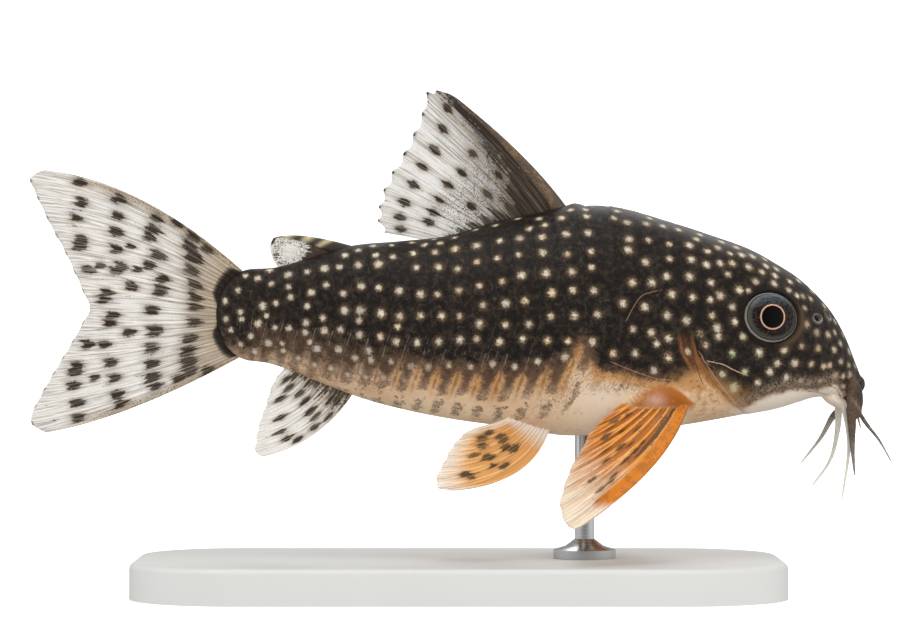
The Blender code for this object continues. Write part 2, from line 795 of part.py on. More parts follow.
def make_trunk(model, skin):
    """The trunk, with its scutes, and the tail stalk behind it."""
    trunk = [HEAD_CUT - GAP / 2] + shoulder_stations() + scute_stations(0, SCUTES_ON_TRUNK)
    object_of(loft(trunk + [TAIL_CUT + GAP / 2]), "trunk", skin, model)
    stalk = [TAIL_CUT - GAP / 2] + scute_stations(SCUTES_ON_TRUNK, SCUTES)[1:] + stalk_end_stations()
    object_of(loft(stalk), "tail_stalk", skin, model)


def make_eyes(model, glassy):
    """Both eyes, each a flattened ball that sits loose in its socket."""
    for side, name in ((-1, "eye_right"), (1, "eye_left")):
        object_of(eye_ball(side, 0.0), name, glassy, model)


def make_fin(name, fan, material, model, clearance, side=1, swing=0.0):
    """One fin, cut clear of the body where its root enters it."""
    fin = object_of(fan_mesh(fan, side, swing), name, material, model)
    boolean(fin, clearance, "DIFFERENCE")
    settle(fin)


def make_fins(model, clearance, pale, orange):
    """Every fin. Paired fins have one shape, and are held a little differently."""
    make_fin("caudal_fin_upper", CAUDAL_UPPER, pale, model, clearance)
    make_fin("caudal_fin_lower", CAUDAL_LOWER, pale, model, clearance)
    make_fin("dorsal_fin", DORSAL, pale, model, clearance)
    make_fin("adipose_fin", ADIPOSE, pale, model, clearance)
    make_fin("anal_fin", ANAL, pale, model, clearance)
    make_fin("pelvic_fin_right", PELVIC, orange, model, clearance, side=-1)
    make_fin("pelvic_fin_left", PELVIC, orange, model, clearance, swing=LEFT_PELVIC_SWING)
    make_fin("pectoral_fin_right", PECTORAL, orange, model, clearance, side=-1)
    make_fin("pectoral_fin_left", PECTORAL, orange, model, clearance, swing=LEFT_PECTORAL_SWING)


def make_barbels(model, clearance, dark):
    """The three pairs of barbels, each cut clear of the lips it hangs from."""
    for name, (width, points) in BARBELS.items():
        barbel = object_of(barbel_curve(points, width), name, dark, model)
        boolean(barbel, clearance, "DIFFERENCE")
        settle(barbel)


def make_stand(model, clearance, painted, steel):
    """A flat base and one short rod up to the belly."""
    plate = bmesh.new()
    bmesh.ops.create_cube(
        plate,
        size=1.0,
        matrix=Matrix.Translation((0, 0, STAND_HEIGHT / 2))
        @ Matrix.Diagonal((STAND_LENGTH, STAND_WIDTH, STAND_HEIGHT, 1.0)),
    )
    corners = [edge for edge in plate.edges if abs(edge.verts[0].co.z - edge.verts[1].co.z) > 0.1]
    bmesh.ops.bevel(
        plate, geom=corners, offset=STAND_CORNER, affect="EDGES", segments=8, profile=0.5, material=-1
    )
    top = [edge for edge in plate.edges if min(vert.co.z for vert in edge.verts) > STAND_HEIGHT - STAND_EDGE]
    bmesh.ops.bevel(plate, geom=top, offset=STAND_EDGE, affect="EDGES", segments=2, profile=0.5, material=-1)
    object_of(plate, "stand_base", painted, model)

    foot = STAND_HEIGHT + GAP
    outline = [
        (0.0, foot),
        (ROD_FOOT_RADIUS, foot),
        (ROD_FOOT_RADIUS, foot + ROD_FOOT_RIM),
        (ROD_WAIST_RADIUS, foot + ROD_WAIST),
        (ROD_RADIUS, foot + ROD_FOOT_HEIGHT),
        (ROD_RADIUS, ROD_TOP),
        (0.0, ROD_TOP),
    ]
    turned = bmesh.new()
    verts = [turned.verts.new((ROD_X + radius, 0.0, z)) for radius, z in outline]
    profile = verts + [turned.edges.new(pair) for pair in zip(verts, verts[1:])]
    centre = (ROD_X, 0, 0)
    bmesh.ops.spin(
        turned, geom=profile, cent=centre, axis=(0, 0, 1), angle=2 * math.pi, steps=20, use_merge=True
    )
    bmesh.ops.remove_doubles(turned, verts=turned.verts, dist=1e-4)
    rod = object_of(turned, "stand_rod", steel, model)
    boolean(rod, clearance, "DIFFERENCE")
    settle(rod)


def main():
    """Builds the fish and its stand."""
    clear_scene()
    model = new_collection("corydoras_catfish")
    clearance = new_collection("clearance")
    skin = new_material("dark_skin", (0.035, 0.03, 0.026), 0.35)
    glassy = new_material("eye", (0.02, 0.02, 0.022), 0.08)
    pale = new_material("pale_fin", (0.72, 0.68, 0.62), 0.45)
    orange = new_material("orange_fin", (0.85, 0.38, 0.05), 0.4)
    dark = new_material("barbel_skin", (0.12, 0.09, 0.07), 0.4)
    painted = new_material("stand_paint", (0.75, 0.75, 0.74), 0.5)
    steel = new_material("stand_steel", (0.6, 0.6, 0.6), 0.25, 1.0)

    helper(object_of(whole_body(GAP), "body_clearance", None, clearance))
    make_fins(model, clearance, pale, orange)
    make_stand(model, clearance, painted, steel)
    for side in (-1, 1):
        helper(object_of(lip_lobe(side, GAP), f"lobe_clearance_{side}", None, clearance))
    helper(object_of(lower_lip(GAP), "lower_lip_clearance", None, clearance))
    make_barbels(model, clearance, dark)
    make_head(model, skin)
    make_trunk(model, skin)
    make_eyes(model, glassy)


main()
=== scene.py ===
"""The looks of a corydoras catfish, shown as a still, life-size model on a plain display stand.

Sizes are in millimetres, and each finished mesh is scaled to metres. The head points along +X, the
fish's right side faces the camera along -Y, +Z is up and the stand rests on the floor at z = 0.
"""

import json
import logging
import math
from dataclasses import dataclass, field
from enum import Enum
from typing import Callable

import bmesh
import bpy
import numpy as np
from mathutils import Matrix, Vector

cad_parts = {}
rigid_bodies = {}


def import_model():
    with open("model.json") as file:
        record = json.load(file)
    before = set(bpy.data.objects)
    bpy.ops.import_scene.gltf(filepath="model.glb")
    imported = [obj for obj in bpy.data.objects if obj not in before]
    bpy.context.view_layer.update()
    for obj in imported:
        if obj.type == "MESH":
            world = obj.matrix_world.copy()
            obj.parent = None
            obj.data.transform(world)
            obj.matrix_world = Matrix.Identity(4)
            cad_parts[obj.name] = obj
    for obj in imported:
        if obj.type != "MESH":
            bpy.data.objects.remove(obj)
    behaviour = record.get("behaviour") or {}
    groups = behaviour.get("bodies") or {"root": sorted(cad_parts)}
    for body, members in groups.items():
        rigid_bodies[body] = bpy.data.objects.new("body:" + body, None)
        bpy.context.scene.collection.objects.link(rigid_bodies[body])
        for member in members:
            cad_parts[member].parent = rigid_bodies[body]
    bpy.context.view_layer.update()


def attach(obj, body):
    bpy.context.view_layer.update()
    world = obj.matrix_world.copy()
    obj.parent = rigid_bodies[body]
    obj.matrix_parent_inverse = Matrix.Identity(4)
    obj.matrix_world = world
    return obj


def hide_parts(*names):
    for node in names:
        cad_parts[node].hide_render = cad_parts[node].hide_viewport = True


log = logging.getLogger("corydoras")

MM = 0.001
WHITE = (1.0, 1.0, 1.0, 1.0)
Array = np.ndarray
Mesh = bpy.types.Mesh
Material = bpy.types.Material
Points = tuple[tuple[float, ...], ...]


class Side(Enum):
    """A side of the fish, as the sign of its y."""

    RIGHT = -1
    LEFT = 1


class Slot(Enum):
    """The names of the material slots; each piece is handed one, which it does not use."""

    SKIN = "dark_skin"
    EYE = "eye"
    PALE_FIN = "pale_fin"
    ORANGE_FIN = "orange_fin"
    PAINT = "stand_paint"
    STEEL = "stand_steel"


def smooth(value: Array) -> Array:
    """Eases from 0 to 1 as the value does, and holds outside."""
    held = np.clip(value, 0.0, 1.0)
    return held * held * (3.0 - 2.0 * held)


def blend(first: Array, second: Array, share: Array) -> Array:
    """The value this share of the way from the first to the second."""
    return first + (second - first) * share


def hump(value: Array, middle: float, width: float) -> Array:
    """A rounded hump, 1 at its middle."""
    return np.exp(-(((value - middle) / width) ** 2))


def patch(x: Array, z: Array, middle: tuple[float, float], reach: tuple[float, float]) -> Array:
    """A soft patch, 1 at its middle, that fades over this reach along and up."""
    return np.exp(-(((x - middle[0]) / reach[0]) ** 2) - ((z - middle[1]) / reach[1]) ** 2)


def unit(vectors: Array) -> Array:
    """The vectors, each made of length 1."""
    length = np.linalg.norm(vectors, axis=-1, keepdims=True)
    return vectors / np.maximum(length, 1e-9)


@dataclass(frozen=True)
class Curve:
    """A smooth curve through (x, value) points, which run from high x to low."""

    points: Points

    def at(self, x: Array) -> Array:
        """Reads the curve.

        Args:
            x: where to read it; beyond its ends it holds.

        Returns:
            The value at each x.
        """
        xs, values = np.array(self.points).T
        slopes = np.diff(values) / np.diff(xs)
        before = np.concatenate((slopes[:1], slopes))
        after = np.concatenate((slopes, slopes[-1:]))
        tangents = np.where(before * after < 0, 0.0, (before + after) / 2)
        held = np.clip(x, xs[-1], xs[0])
        index = np.clip(np.searchsorted(-xs, -held, side="right") - 1, 0, len(xs) - 2)
        run = xs[index + 1] - xs[index]
        t = (held - xs[index]) / run
        t2, t3 = t * t, t * t * t
        return (
            (2 * t3 - 3 * t2 + 1) * values[index]
            + (t3 - 2 * t2 + t) * run * tangents[index]
            + (3 * t2 - 2 * t3) * values[index + 1]
            + (t3 - t2) * run * tangents[index + 1]
        )


@dataclass(frozen=True)
class Line:
    """A line through points, cut square at them or rounded through them."""

    points: Points
    rounded: bool = False
    by_point: bool = False

    def at(self, share: Array) -> Array:
        """Finds points along the line.

        Args:
            share: how far along it, from 0 to 1, by length or by the number of points passed.

        Returns:
            One point for each share.
        """
        points = np.array(self.points)
        lengths = np.linalg.norm(np.diff(points, axis=0), axis=1)
        lengths = np.ones_like(lengths) if self.by_point else lengths
        ends = np.cumsum(lengths)
        target = np.clip(share, 0.0, 1.0) * ends[-1]
        index = np.clip(np.searchsorted(ends, target), 0, len(lengths) - 1)
        t = ((target - ends[index] + lengths[index]) / lengths[index])[:, None]
        here, there = points[index], points[index + 1]
        if not self.rounded:
            return here + (there - here) * t
        before = points[np.maximum(index - 1, 0)]
        after = points[np.minimum(index + 2, len(points) - 1)]
        return (
            here * (2 * t**3 - 3 * t**2 + 1)
            + there * (3 * t**2 - 2 * t**3)
            + (there - before) * 0.5 * (t**3 - 2 * t**2 + t)
            + (after - here) * 0.5 * (t**3 - t**2)
        )


def read_numbers(items: bpy.types.bpy_prop_collection, name: str, width: int = 1,
                 kind: type = np.int32) -> Array:
    """Reads one property of every part of a mesh.

    Args:
        items: its vertices, edges, faces or corners.
        name: the property.
        width: how many numbers it has.
        kind: the type of the numbers.

    Returns:
        All the numbers in one row.
    """
    numbers = np.empty(len(items) * width, kind)
    items.foreach_get(name, numbers)
    return numbers


def read_points(mesh: Mesh) -> Array:
    """The places of a mesh's vertices, one row each."""
    return read_numbers(mesh.vertices, "co", 3, np.float32).reshape(-1, 3).astype(float)


def write_points(mesh: Mesh, places: Array) -> None:
    """Moves a mesh's vertices to these places."""
    mesh.vertices.foreach_set("co", places.astype(np.float32).ravel())
    mesh.update()


def write_values(mesh: Mesh, name: str, values: Array) -> None:
    """Keeps one number for each vertex under this name, for a material to read."""
    layer = mesh.attributes.new(name, "FLOAT", "POINT")
    layer.data.foreach_set("value", values.astype(np.float32))


def grid_mesh(name: str, columns: int, rows: int, warp: Callable[[Array, Array], Array]) -> Mesh:
    """Bends a flat grid into a shape.

    Args:
        name: the mesh's name.
        columns: how many faces it has across.
        rows: how many faces it has along.
        warp: gives the points for shares across and along, each from 0 to 1.

    Returns:
        The mesh, in millimetres.
    """
    sheet = bmesh.new()
    bmesh.ops.create_grid(sheet, x_segments=columns, y_segments=rows, size=1.0)
    mesh = bpy.data.meshes.new(name)
    sheet.to_mesh(mesh)
    sheet.free()
    shares = (read_points(mesh)[:, :2] + 1.0) / 2
    write_points(mesh, warp(shares[:, 0], shares[:, 1]))
    return mesh


def weld(mesh: Mesh, distance: float) -> None:
    """Merges the points of a mesh that lie close together, and turns its faces outwards.

    Args:
        mesh: the mesh.
        distance: how close, in millimetres.
    """
    shape = bmesh.new()
    shape.from_mesh(mesh)
    bmesh.ops.remove_doubles(shape, verts=shape.verts, dist=distance)
    bmesh.ops.dissolve_degenerate(shape, edges=shape.edges, dist=distance / 4)
    bmesh.ops.recalc_face_normals(shape, faces=shape.faces)
    shape.to_mesh(mesh)
    shape.free()


def mesh_of(shape: bmesh.types.BMesh, name: str) -> Mesh:
    """The finished mesh of a bmesh, with its faces turned outwards.

    Args:
        shape: the bmesh, which this frees.
        name: the mesh's name.

    Returns:
        The mesh.
    """
    bmesh.ops.recalc_face_normals(shape, faces=shape.faces)
    mesh = bpy.data.meshes.new(name)
    shape.to_mesh(mesh)
    shape.free()
    return mesh


def object_of(mesh: Mesh) -> bpy.types.Object:
    """Puts a mesh into the scene, at its origin.

    Args:
        mesh: the mesh.

    Returns:
        The object.
    """
    obj = bpy.data.objects.new(mesh.name, mesh)
    bpy.context.scene.collection.objects.link(obj)
    return obj


def show_piece(mesh: Mesh, material: Material, slot: Slot, *nodes: str,
               sharp: float | None = None) -> bpy.types.Object:
    """Makes a mesh a finished piece of the fish or its stand.

    Args:
        mesh: the shape, in millimetres.
        material: its finish.
        slot: not used.
        nodes: the solids that it stands for.
        sharp: the angle in degrees past which edges stay sharp, or None to smooth them all.

    Returns:
        The piece.
    """
    mesh.transform(Matrix.Scale(MM, 4))
    mesh.materials.clear()
    mesh.materials.append(material)
    mesh.shade_smooth()
    if sharp is not None:
        mesh.set_sharp_from_angle(angle=math.radians(sharp))
    piece = object_of(mesh)
    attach(piece, "root")
    if nodes:
        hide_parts(*nodes)
    log.info("%s: %d faces", mesh.name, len(mesh.polygons))
    return piece


def facing_turn(facing: Array) -> Matrix:
    """The turn that lays the Z axis along the way something faces."""
    return Vector(facing).to_track_quat("Z", "Y").to_matrix().to_4x4()


def ball(name: str, radii: Points, centre: Array, turn: Matrix = Matrix.Identity(4),
         around: int = 40, rings: int = 28) -> Mesh:
    """An ellipsoid, turned about its centre.

    Args:
        name: the mesh's name.
        radii: its three radii.
        centre: its middle.
        turn: how it is turned.
        around: how many faces go round it.
        rings: how many go from pole to pole.

    Returns:
        The mesh.
    """
    shape = bmesh.new()
    place = Matrix.Translation(Vector(centre)) @ turn @ Matrix.Diagonal((*radii, 1.0))
    bmesh.ops.create_uvsphere(shape, u_segments=around, v_segments=rings, radius=1.0, matrix=place)
    return mesh_of(shape, name)


def torus(name: str, inner: tuple[float, float], minor: float, centre: Array, facing: Array) -> Mesh:
    """An oval ring.

    Args:
        name: the mesh's name.
        inner: half the length and the height of the oval it runs round.
        minor: the radius of its section.
        centre: its middle.
        facing: the way its opening faces.

    Returns:
        The mesh.
    """
    shape = bmesh.new()
    upright = Matrix.Translation((1.0 + minor / min(inner), 0, 0)) @ Matrix.Rotation(math.pi / 2, 4, "X")
    bmesh.ops.create_circle(shape, segments=12, radius=minor / min(inner), matrix=upright)
    profile = list(shape.verts) + list(shape.edges)
    bmesh.ops.spin(shape, geom=profile, cent=(0, 0, 0), axis=(0, 0, 1), angle=2 * math.pi, steps=28,
                   use_merge=True)
    bmesh.ops.remove_doubles(shape, verts=shape.verts, dist=1e-4)
    size = Matrix.Diagonal((*inner, min(inner), 1.0))
    place = Matrix.Translation(Vector(centre)) @ facing_turn(facing) @ size
    bmesh.ops.transform(shape, matrix=place, verts=shape.verts)
    return mesh_of(shape, name)


def spun(name: str, outline: list[tuple[float, float]], x: float, steps: int) -> Mesh:
    """Turns an outline about an upright axis.

    Args:
        name: the mesh's name.
        outline: its points, as how far they lie from the axis and how high.
        x: where the axis stands.
        steps: how many faces go round it.

    Returns:
        The mesh.
    """
    shape = bmesh.new()
    verts = [shape.verts.new((x + radius, 0.0, z)) for radius, z in outline]
    profile = verts + [shape.edges.new(pair) for pair in zip(verts, verts[1:])]
    bmesh.ops.spin(shape, geom=profile, cent=(x, 0, 0), axis=(0, 0, 1), angle=2 * math.pi, steps=steps,
                   use_merge=True)
    bmesh.ops.remove_doubles(shape, verts=shape.verts, dist=1e-4)
    return mesh_of(shape, name)


def neighbours(mesh: Mesh) -> tuple[Array, Array]:
    """The two ends of every edge, both ways round."""
    first, second = read_numbers(mesh.edges, "vertices", 2).reshape(-1, 2).T
    return np.concatenate((first, second)), np.concatenate((second, first))


def relax(mesh: Mesh, weights: Array, rounds: int) -> None:
    """Draws each vertex towards the middle of its neighbours.

    Args:
        mesh: the mesh to smooth.
        weights: how strongly each vertex is drawn, from 0 to 1.
        rounds: how often.
    """
    here, beside = neighbours(mesh)
    size = len(mesh.vertices)
    count = np.maximum(np.bincount(here, minlength=size), 1)[:, None]
    places = read_points(mesh)
    for _ in range(rounds):
        total = np.stack([np.bincount(here, places[beside, axis], size) for axis in range(3)], axis=1)
        places += (total / count - places) * weights[:, None]
    write_points(mesh, places)


@dataclass(frozen=True)
class BodyForm:
    """The fish's body, from the tip of the snout to the end of the tail stalk.

    Its side outline, width and sections are the solids' own. A station is a place along the body that
    leans with the gill opening and the scutes, and a turn runs round it from 0 at the back, by +Y, to 1.
    """

    back_line: Curve = Curve((
        (33.7, 17.5), (33.5, 18.1), (33.0, 19.4), (32.3, 21.2), (31.3, 23.1), (30.3, 24.4), (28.3, 26.3),
        (26.3, 27.6), (24.3, 28.7), (21.3, 29.8), (17.3, 31.1), (13.3, 32.2), (9.7, 32.4), (6.8, 31.8),
        (3.5, 31.1), (-1.1, 29.8), (-4.9, 29.4), (-9.0, 29.0), (-12.4, 28.0), (-15.3, 27.2), (-17.0, 27.1),
    ))
    belly_line: Curve = Curve((
        (33.7, 17.5), (33.5, 17.0), (32.6, 16.5), (31.6, 16.4), (29.7, 16.4), (28.3, 16.0), (26.3, 15.4),
        (23.3, 14.9), (19.3, 14.2), (14.3, 13.5), (9.3, 13.2), (7.2, 13.4), (4.3, 13.9), (-0.7, 14.6),
        (-4.7, 15.4), (-7.7, 16.2), (-10.7, 17.3), (-13.7, 18.5), (-15.7, 19.2), (-17.0, 19.4),
    ))
    half_width: Curve = Curve((
        (33.7, 0.0), (33.5, 0.9), (32.9, 1.7), (32.3, 2.3), (31.3, 3.0), (30.3, 3.6), (28.3, 4.5),
        (26.3, 5.2), (24.3, 5.8), (21.3, 6.5), (17.3, 7.0), (13.3, 7.1), (9.7, 6.9), (3.5, 6.1), (-1.1, 5.3),
        (-4.9, 4.5), (-9.0, 3.6), (-12.4, 2.8), (-15.3, 2.1), (-17.0, 1.7), (-19.0, 1.1), (-20.6, 0.5),
    ))
    widest_level: Curve = Curve((
        (33.7, 0.45), (30.3, 0.42), (26.3, 0.38), (19.3, 0.35), (9.7, 0.4), (-1.1, 0.45), (-9.0, 0.5),
        (-21.0, 0.5),
    ))
    back_power: Curve = Curve((
        (33.7, 2.0), (28.0, 2.3), (20.0, 2.2), (10.0, 2.0), (0.0, 2.0), (-9.0, 2.1), (-21.0, 2.1),
    ))
    belly_power: Curve = Curve((
        (33.7, 2.0), (30.0, 2.3), (26.0, 2.7), (18.0, 2.9), (9.7, 2.7), (-1.0, 2.3), (-9.0, 2.0),
        (-21.0, 2.0),
    ))
    # The rear edge of the gill cover, seen from the side: (z, x).
    gill_edge: Curve = Curve((
        (30.5, 18.9), (26.0, 18.9), (23.4, 19.0), (21.1, 19.3), (20.1, 19.55), (19.4, 19.95), (17.8, 20.95),
        (16.8, 21.85), (16.1, 22.45), (15.6, 23.2), (14.6, 24.6),
    ))
    stalk_x: float = -17.0
    stalk_z: float = 23.25
    stalk_run: float = 3.2
    stalk_rise: float = 3.85
    snout_tip: float = 33.7
    head_cut: float = 19.5
    slant_starts: float = 33.0
    slant_ends: float = 11.0
    chevron_above: float = -0.1
    chevron_below: float = 0.33
    chevron_starts: float = 17.0
    chevron_full: float = 12.0
    chevron_fades: float = -15.0
    chevron_ends: float = -19.0

    def section(self, x: Array) -> tuple[Array, ...]:
        """The body's section.

        Args:
            x: where along the fish.

        Returns:
            Its top, bottom, half width and widest level, and the powers of its back and belly.
        """
        share = np.clip((self.stalk_x - x) / self.stalk_run, 0.0, 1.0)
        rise = self.stalk_rise * np.sqrt(1.0 - share * share)
        in_stalk_end = x < self.stalk_x
        top = np.where(in_stalk_end, self.stalk_z + rise, self.back_line.at(x))
        bottom = np.where(in_stalk_end, self.stalk_z - rise, self.belly_line.at(x))
        widest = blend(bottom, top, self.widest_level.at(x))
        half = self.half_width.at(x) * np.sqrt(1.0 - share**8)
        return top, bottom, half, widest, self.back_power.at(x), self.belly_power.at(x)

    def lean(self, station: Array, z: Array) -> Array:
        """How far points lie ahead of their stations.

        Args:
            station: its place along the body.
            z: its height.

        Returns:
            The distance at each point.
        """
        top, bottom = self.section(station)[:2]
        height = z - (top + bottom) / 2
        ahead = smooth((self.slant_starts - station) / (self.slant_starts - self.head_cut))
        behind = smooth((station - self.slant_ends) / (self.head_cut - self.slant_ends))
        slant = np.where(station > self.head_cut, ahead, behind)
        chevron = smooth((self.chevron_starts - station) / (self.chevron_starts - self.chevron_full))
        chevron = chevron * smooth((station - self.chevron_ends) / (self.chevron_fades - self.chevron_ends))
        rate = np.where(height > 0, self.chevron_above, self.chevron_below)
        return (self.gill_edge.at(z) - self.head_cut) * slant + height * rate * chevron

    def surface(self, station: Array, turn: Array) -> tuple[Array, Array]:
        """The plain body's points.

        Args:
            station: places along the body.
            turn: places round it.

        Returns:
            The points, and the way that relief raises each of them.
        """
        across = np.sin(2 * math.pi * turn)
        up = np.cos(2 * math.pi * turn)
        x = station
        for _ in range(6):
            top, bottom, half, widest, back_power, belly_power = self.section(x)
            power = 2.0 / np.where(up >= 0, back_power, belly_power)
            y = half * np.sign(across) * np.abs(across) ** power
            z = widest + (np.where(up >= 0, top, bottom) - widest) * np.abs(up) ** power
            x = station + self.lean(station, z)
        outward = unit(np.stack((np.zeros_like(y), y, z - self.section(x)[3]), axis=1))
        return np.stack((x, y, z), axis=1), outward

    def station_turn(self, places: Array) -> tuple[Array, Array]:
        """Finds where points on or near the body belong.

        Args:
            places: the points.

        Returns:
            Their stations and their turns.
        """
        x, y, z = places.T
        station = x
        for _ in range(12):
            station = x - self.lean(station, z)
        top, bottom, half, widest, back_power, belly_power = self.section(x)
        above = z >= widest
        power = np.where(above, back_power, belly_power) / 2.0
        reach = np.maximum(np.where(above, top - widest, widest - bottom), 1e-3)
        across = np.sign(y) * (np.abs(y) / np.maximum(half, 1e-3)) ** power
        up = np.where(above, 1.0, -1.0) * (np.abs(z - widest) / reach) ** power
        return station, (np.arctan2(across, up) / (2 * math.pi)) % 1.0

    def half_width_at(self, x: Array, z: Array) -> Array:
        """Half the plain body's width.

        Args:
            x: where along the fish.
            z: how high.

        Returns:
            Half the width at each point.
        """
        top, bottom, half, widest, back_power, belly_power = self.section(x)
        above = z >= widest
        power = np.where(above, back_power, belly_power)
        level = np.minimum(np.abs(z - widest) / np.where(above, top - widest, widest - bottom), 1.0)
        return half * (1.0 - level**power) ** (1.0 / power)

    def beside(self, x: float, z: float, side: Side) -> tuple[Array, Array]:
        """The surface point beside a point of the mid plane.

        Args:
            x: where along the fish.
            z: how high.
            side: which side.

        Returns:
            The point, and the way that the body faces there.
        """
        step = 0.2
        xs = np.array([x, x + step, x - step, x, x])
        zs = np.array([z, z, z, z + step, z - step])
        half, ahead, behind, over, under = self.half_width_at(xs, zs)
        facing = np.array((-(ahead - behind) / (2 * step), side.value, -(over - under) / (2 * step)))
        return np.array((x, side.value * half, z)), unit(facing)


@dataclass(frozen=True)
class Scutes:
    """Two rows of overlapping scutes on each flank, which meet at the lateral line."""

    count: int = 20
    first: float = 12.4
    first_pitch: float = 1.95
    last_pitch: float = 1.25
    rise: float = 0.11
    crest: float = 0.88
    seam_turn: float = 0.25

    def edges(self) -> Array:
        """Finds the front edges of the scutes, from the first, and the last one's rear edge.

        Returns:
            Their stations.
        """
        shares = np.arange(self.count) / (self.count - 1)
        pitches = blend(self.first_pitch, self.last_pitch, shares)
        return self.first - np.concatenate(([0.0], np.cumsum(pitches)))

    def number(self, station: Array) -> Array:
        """How many scutes lie ahead of a station, with its share of its own."""
        edges = self.edges()
        return np.interp(station, edges[::-1], np.arange(self.count, -1, -1.0))

    def relief(self, station: Array, turn: Array) -> Array:
        """How far the scutes stand over the plain body.

        Args:
            station: places along the body.
            turn: places round it.

        Returns:
            The height at each point.
        """
        number = self.number(station)
        phase = number % 1.0
        rise = np.where(phase < self.crest, phase / self.crest, (1.0 - phase) / (1.0 - self.crest))
        there = smooth(number / 0.05) * smooth((self.count - number) / 0.05)
        side = np.minimum(turn % 1.0, 1.0 - turn % 1.0)
        over_back = smooth((side - 0.02) / 0.06)
        belly_edge = blend(0.43, 0.37, smooth(station / 12.0))
        over_belly = 1.0 - smooth((side - belly_edge) / 0.05)
        seam = 1.0 - 0.85 * hump(side, self.seam_turn, 0.008)
        return self.rise * rise * there * over_back * over_belly * seam


@dataclass(frozen=True)
class EyeForm:
    """Where an eye sits in the head, and how it is shaped."""

    x: float = 25.7
    z: float = 23.1
    radius: float = 2.3
    depth: float = 1.5
    sunk: float = 0.75
    long: float = 1.07
    high: float = 0.95
    opening: float = 2.27
    opening_edge: float = 0.22
    rim_radius: float = 2.42
    rim_width: float = 0.16
    rim_height: float = 0.17
    socket_depth: float = 1.0

    def off_axis(self, places: Array, body: BodyForm, side: Side) -> tuple[Array, Array]:
        """Measures points from the axis of an eye that is a little longer than high.

        Args:
            places: the points.
            body: the fish's body.
            side: the eye's side.

        Returns:
            How far each point lies from the axis, and how far along it.
        """
        centre, facing = body.beside(self.x, self.z, side)
        offset = places - centre
        ahead = unit(np.cross(facing, (0.0, 0.0, 1.0)))
        upward = np.cross(ahead, facing)
        return np.hypot(offset @ ahead / self.long, offset @ upward / self.high), offset @ facing


@dataclass(frozen=True)
class Barbel:
    """A tapered feeler at the mouth: its width at the root, its points, and how dark its two ends are."""

    width: float
    points: Points
    root_tone: float
    tip_tone: float
    tip_width: float = 0.12

    def mesh(self, name: str) -> Mesh:
        """The barbel as a closed tube.

        Args:
            name: the mesh's name.

        Returns:
            The mesh.
        """
        rows = 64
        line = Line(self.points, rounded=True)

        def warp(across: Array, along: Array) -> Array:
            """Bends the flat grid round the barbel.

            Args:
                across: shares round it.
                along: shares along it.

            Returns:
                The points.
            """
            share = np.clip((along * rows - 1) / (rows - 2), 0.0, 1.0)
            step = 0.01
            way = unit(line.at(np.minimum(share + step, 1.0)) - line.at(np.maximum(share - step, 0.0)))
            first = unit(np.cross(way, (1.0, 0.0, 0.0)))
            second = np.cross(way, first)
            radius = self.radius(share)
            radius = np.where((along < 0.5 / rows) | (along > 1 - 0.5 / rows), 0.0, radius)[:, None]
            angle = (2 * math.pi * across)[:, None]
            return line.at(share) + (first * np.cos(angle) + second * np.sin(angle)) * radius

        mesh = grid_mesh(name, 16, rows, warp)
        weld(mesh, 0.002)
        return mesh

    def radius(self, share: Array) -> Array:
        """The barbel's radius this share along it."""
        return self.width / 2 * blend(1.0, self.tip_width / self.width, share**0.55)

    def near(self, places: Array) -> tuple[Array, Array]:
        """How far points lie from the barbel's middle line, and their share along it.

        Args:
            places: the points.

        Returns:
            The distance and the share of each point.
        """
        shares = np.linspace(0.0, 1.0, 60)
        line = Line(self.points, rounded=True).at(shares)
        distance = np.full(len(places), 99.0)
        share = np.zeros(len(places))
        for spot, place in zip(shares, line):
            gap = np.linalg.norm(places - place, axis=1)
            closer = gap < distance
            distance[closer] = gap[closer]
            share[closer] = spot
        return distance, share


@dataclass(frozen=True)
class SpotRow:
    """A row of spots along the flank, one to each scute between its ends: its level at x, z."""

    level: Curve
    size: float = 0.4

    def middle_of(self, station: float, body: BodyForm) -> tuple[float, float]:
        """Finds where the row crosses a station.

        Args:
            station: the place along the body.
            body: the fish's body.

        Returns:
            The point's x and z.
        """
        x = station
        for _ in range(8):
            z = float(self.level.at(np.array([x]))[0])
            x = station + float(body.lean(np.array([station]), np.array([z]))[0])
        return x, z


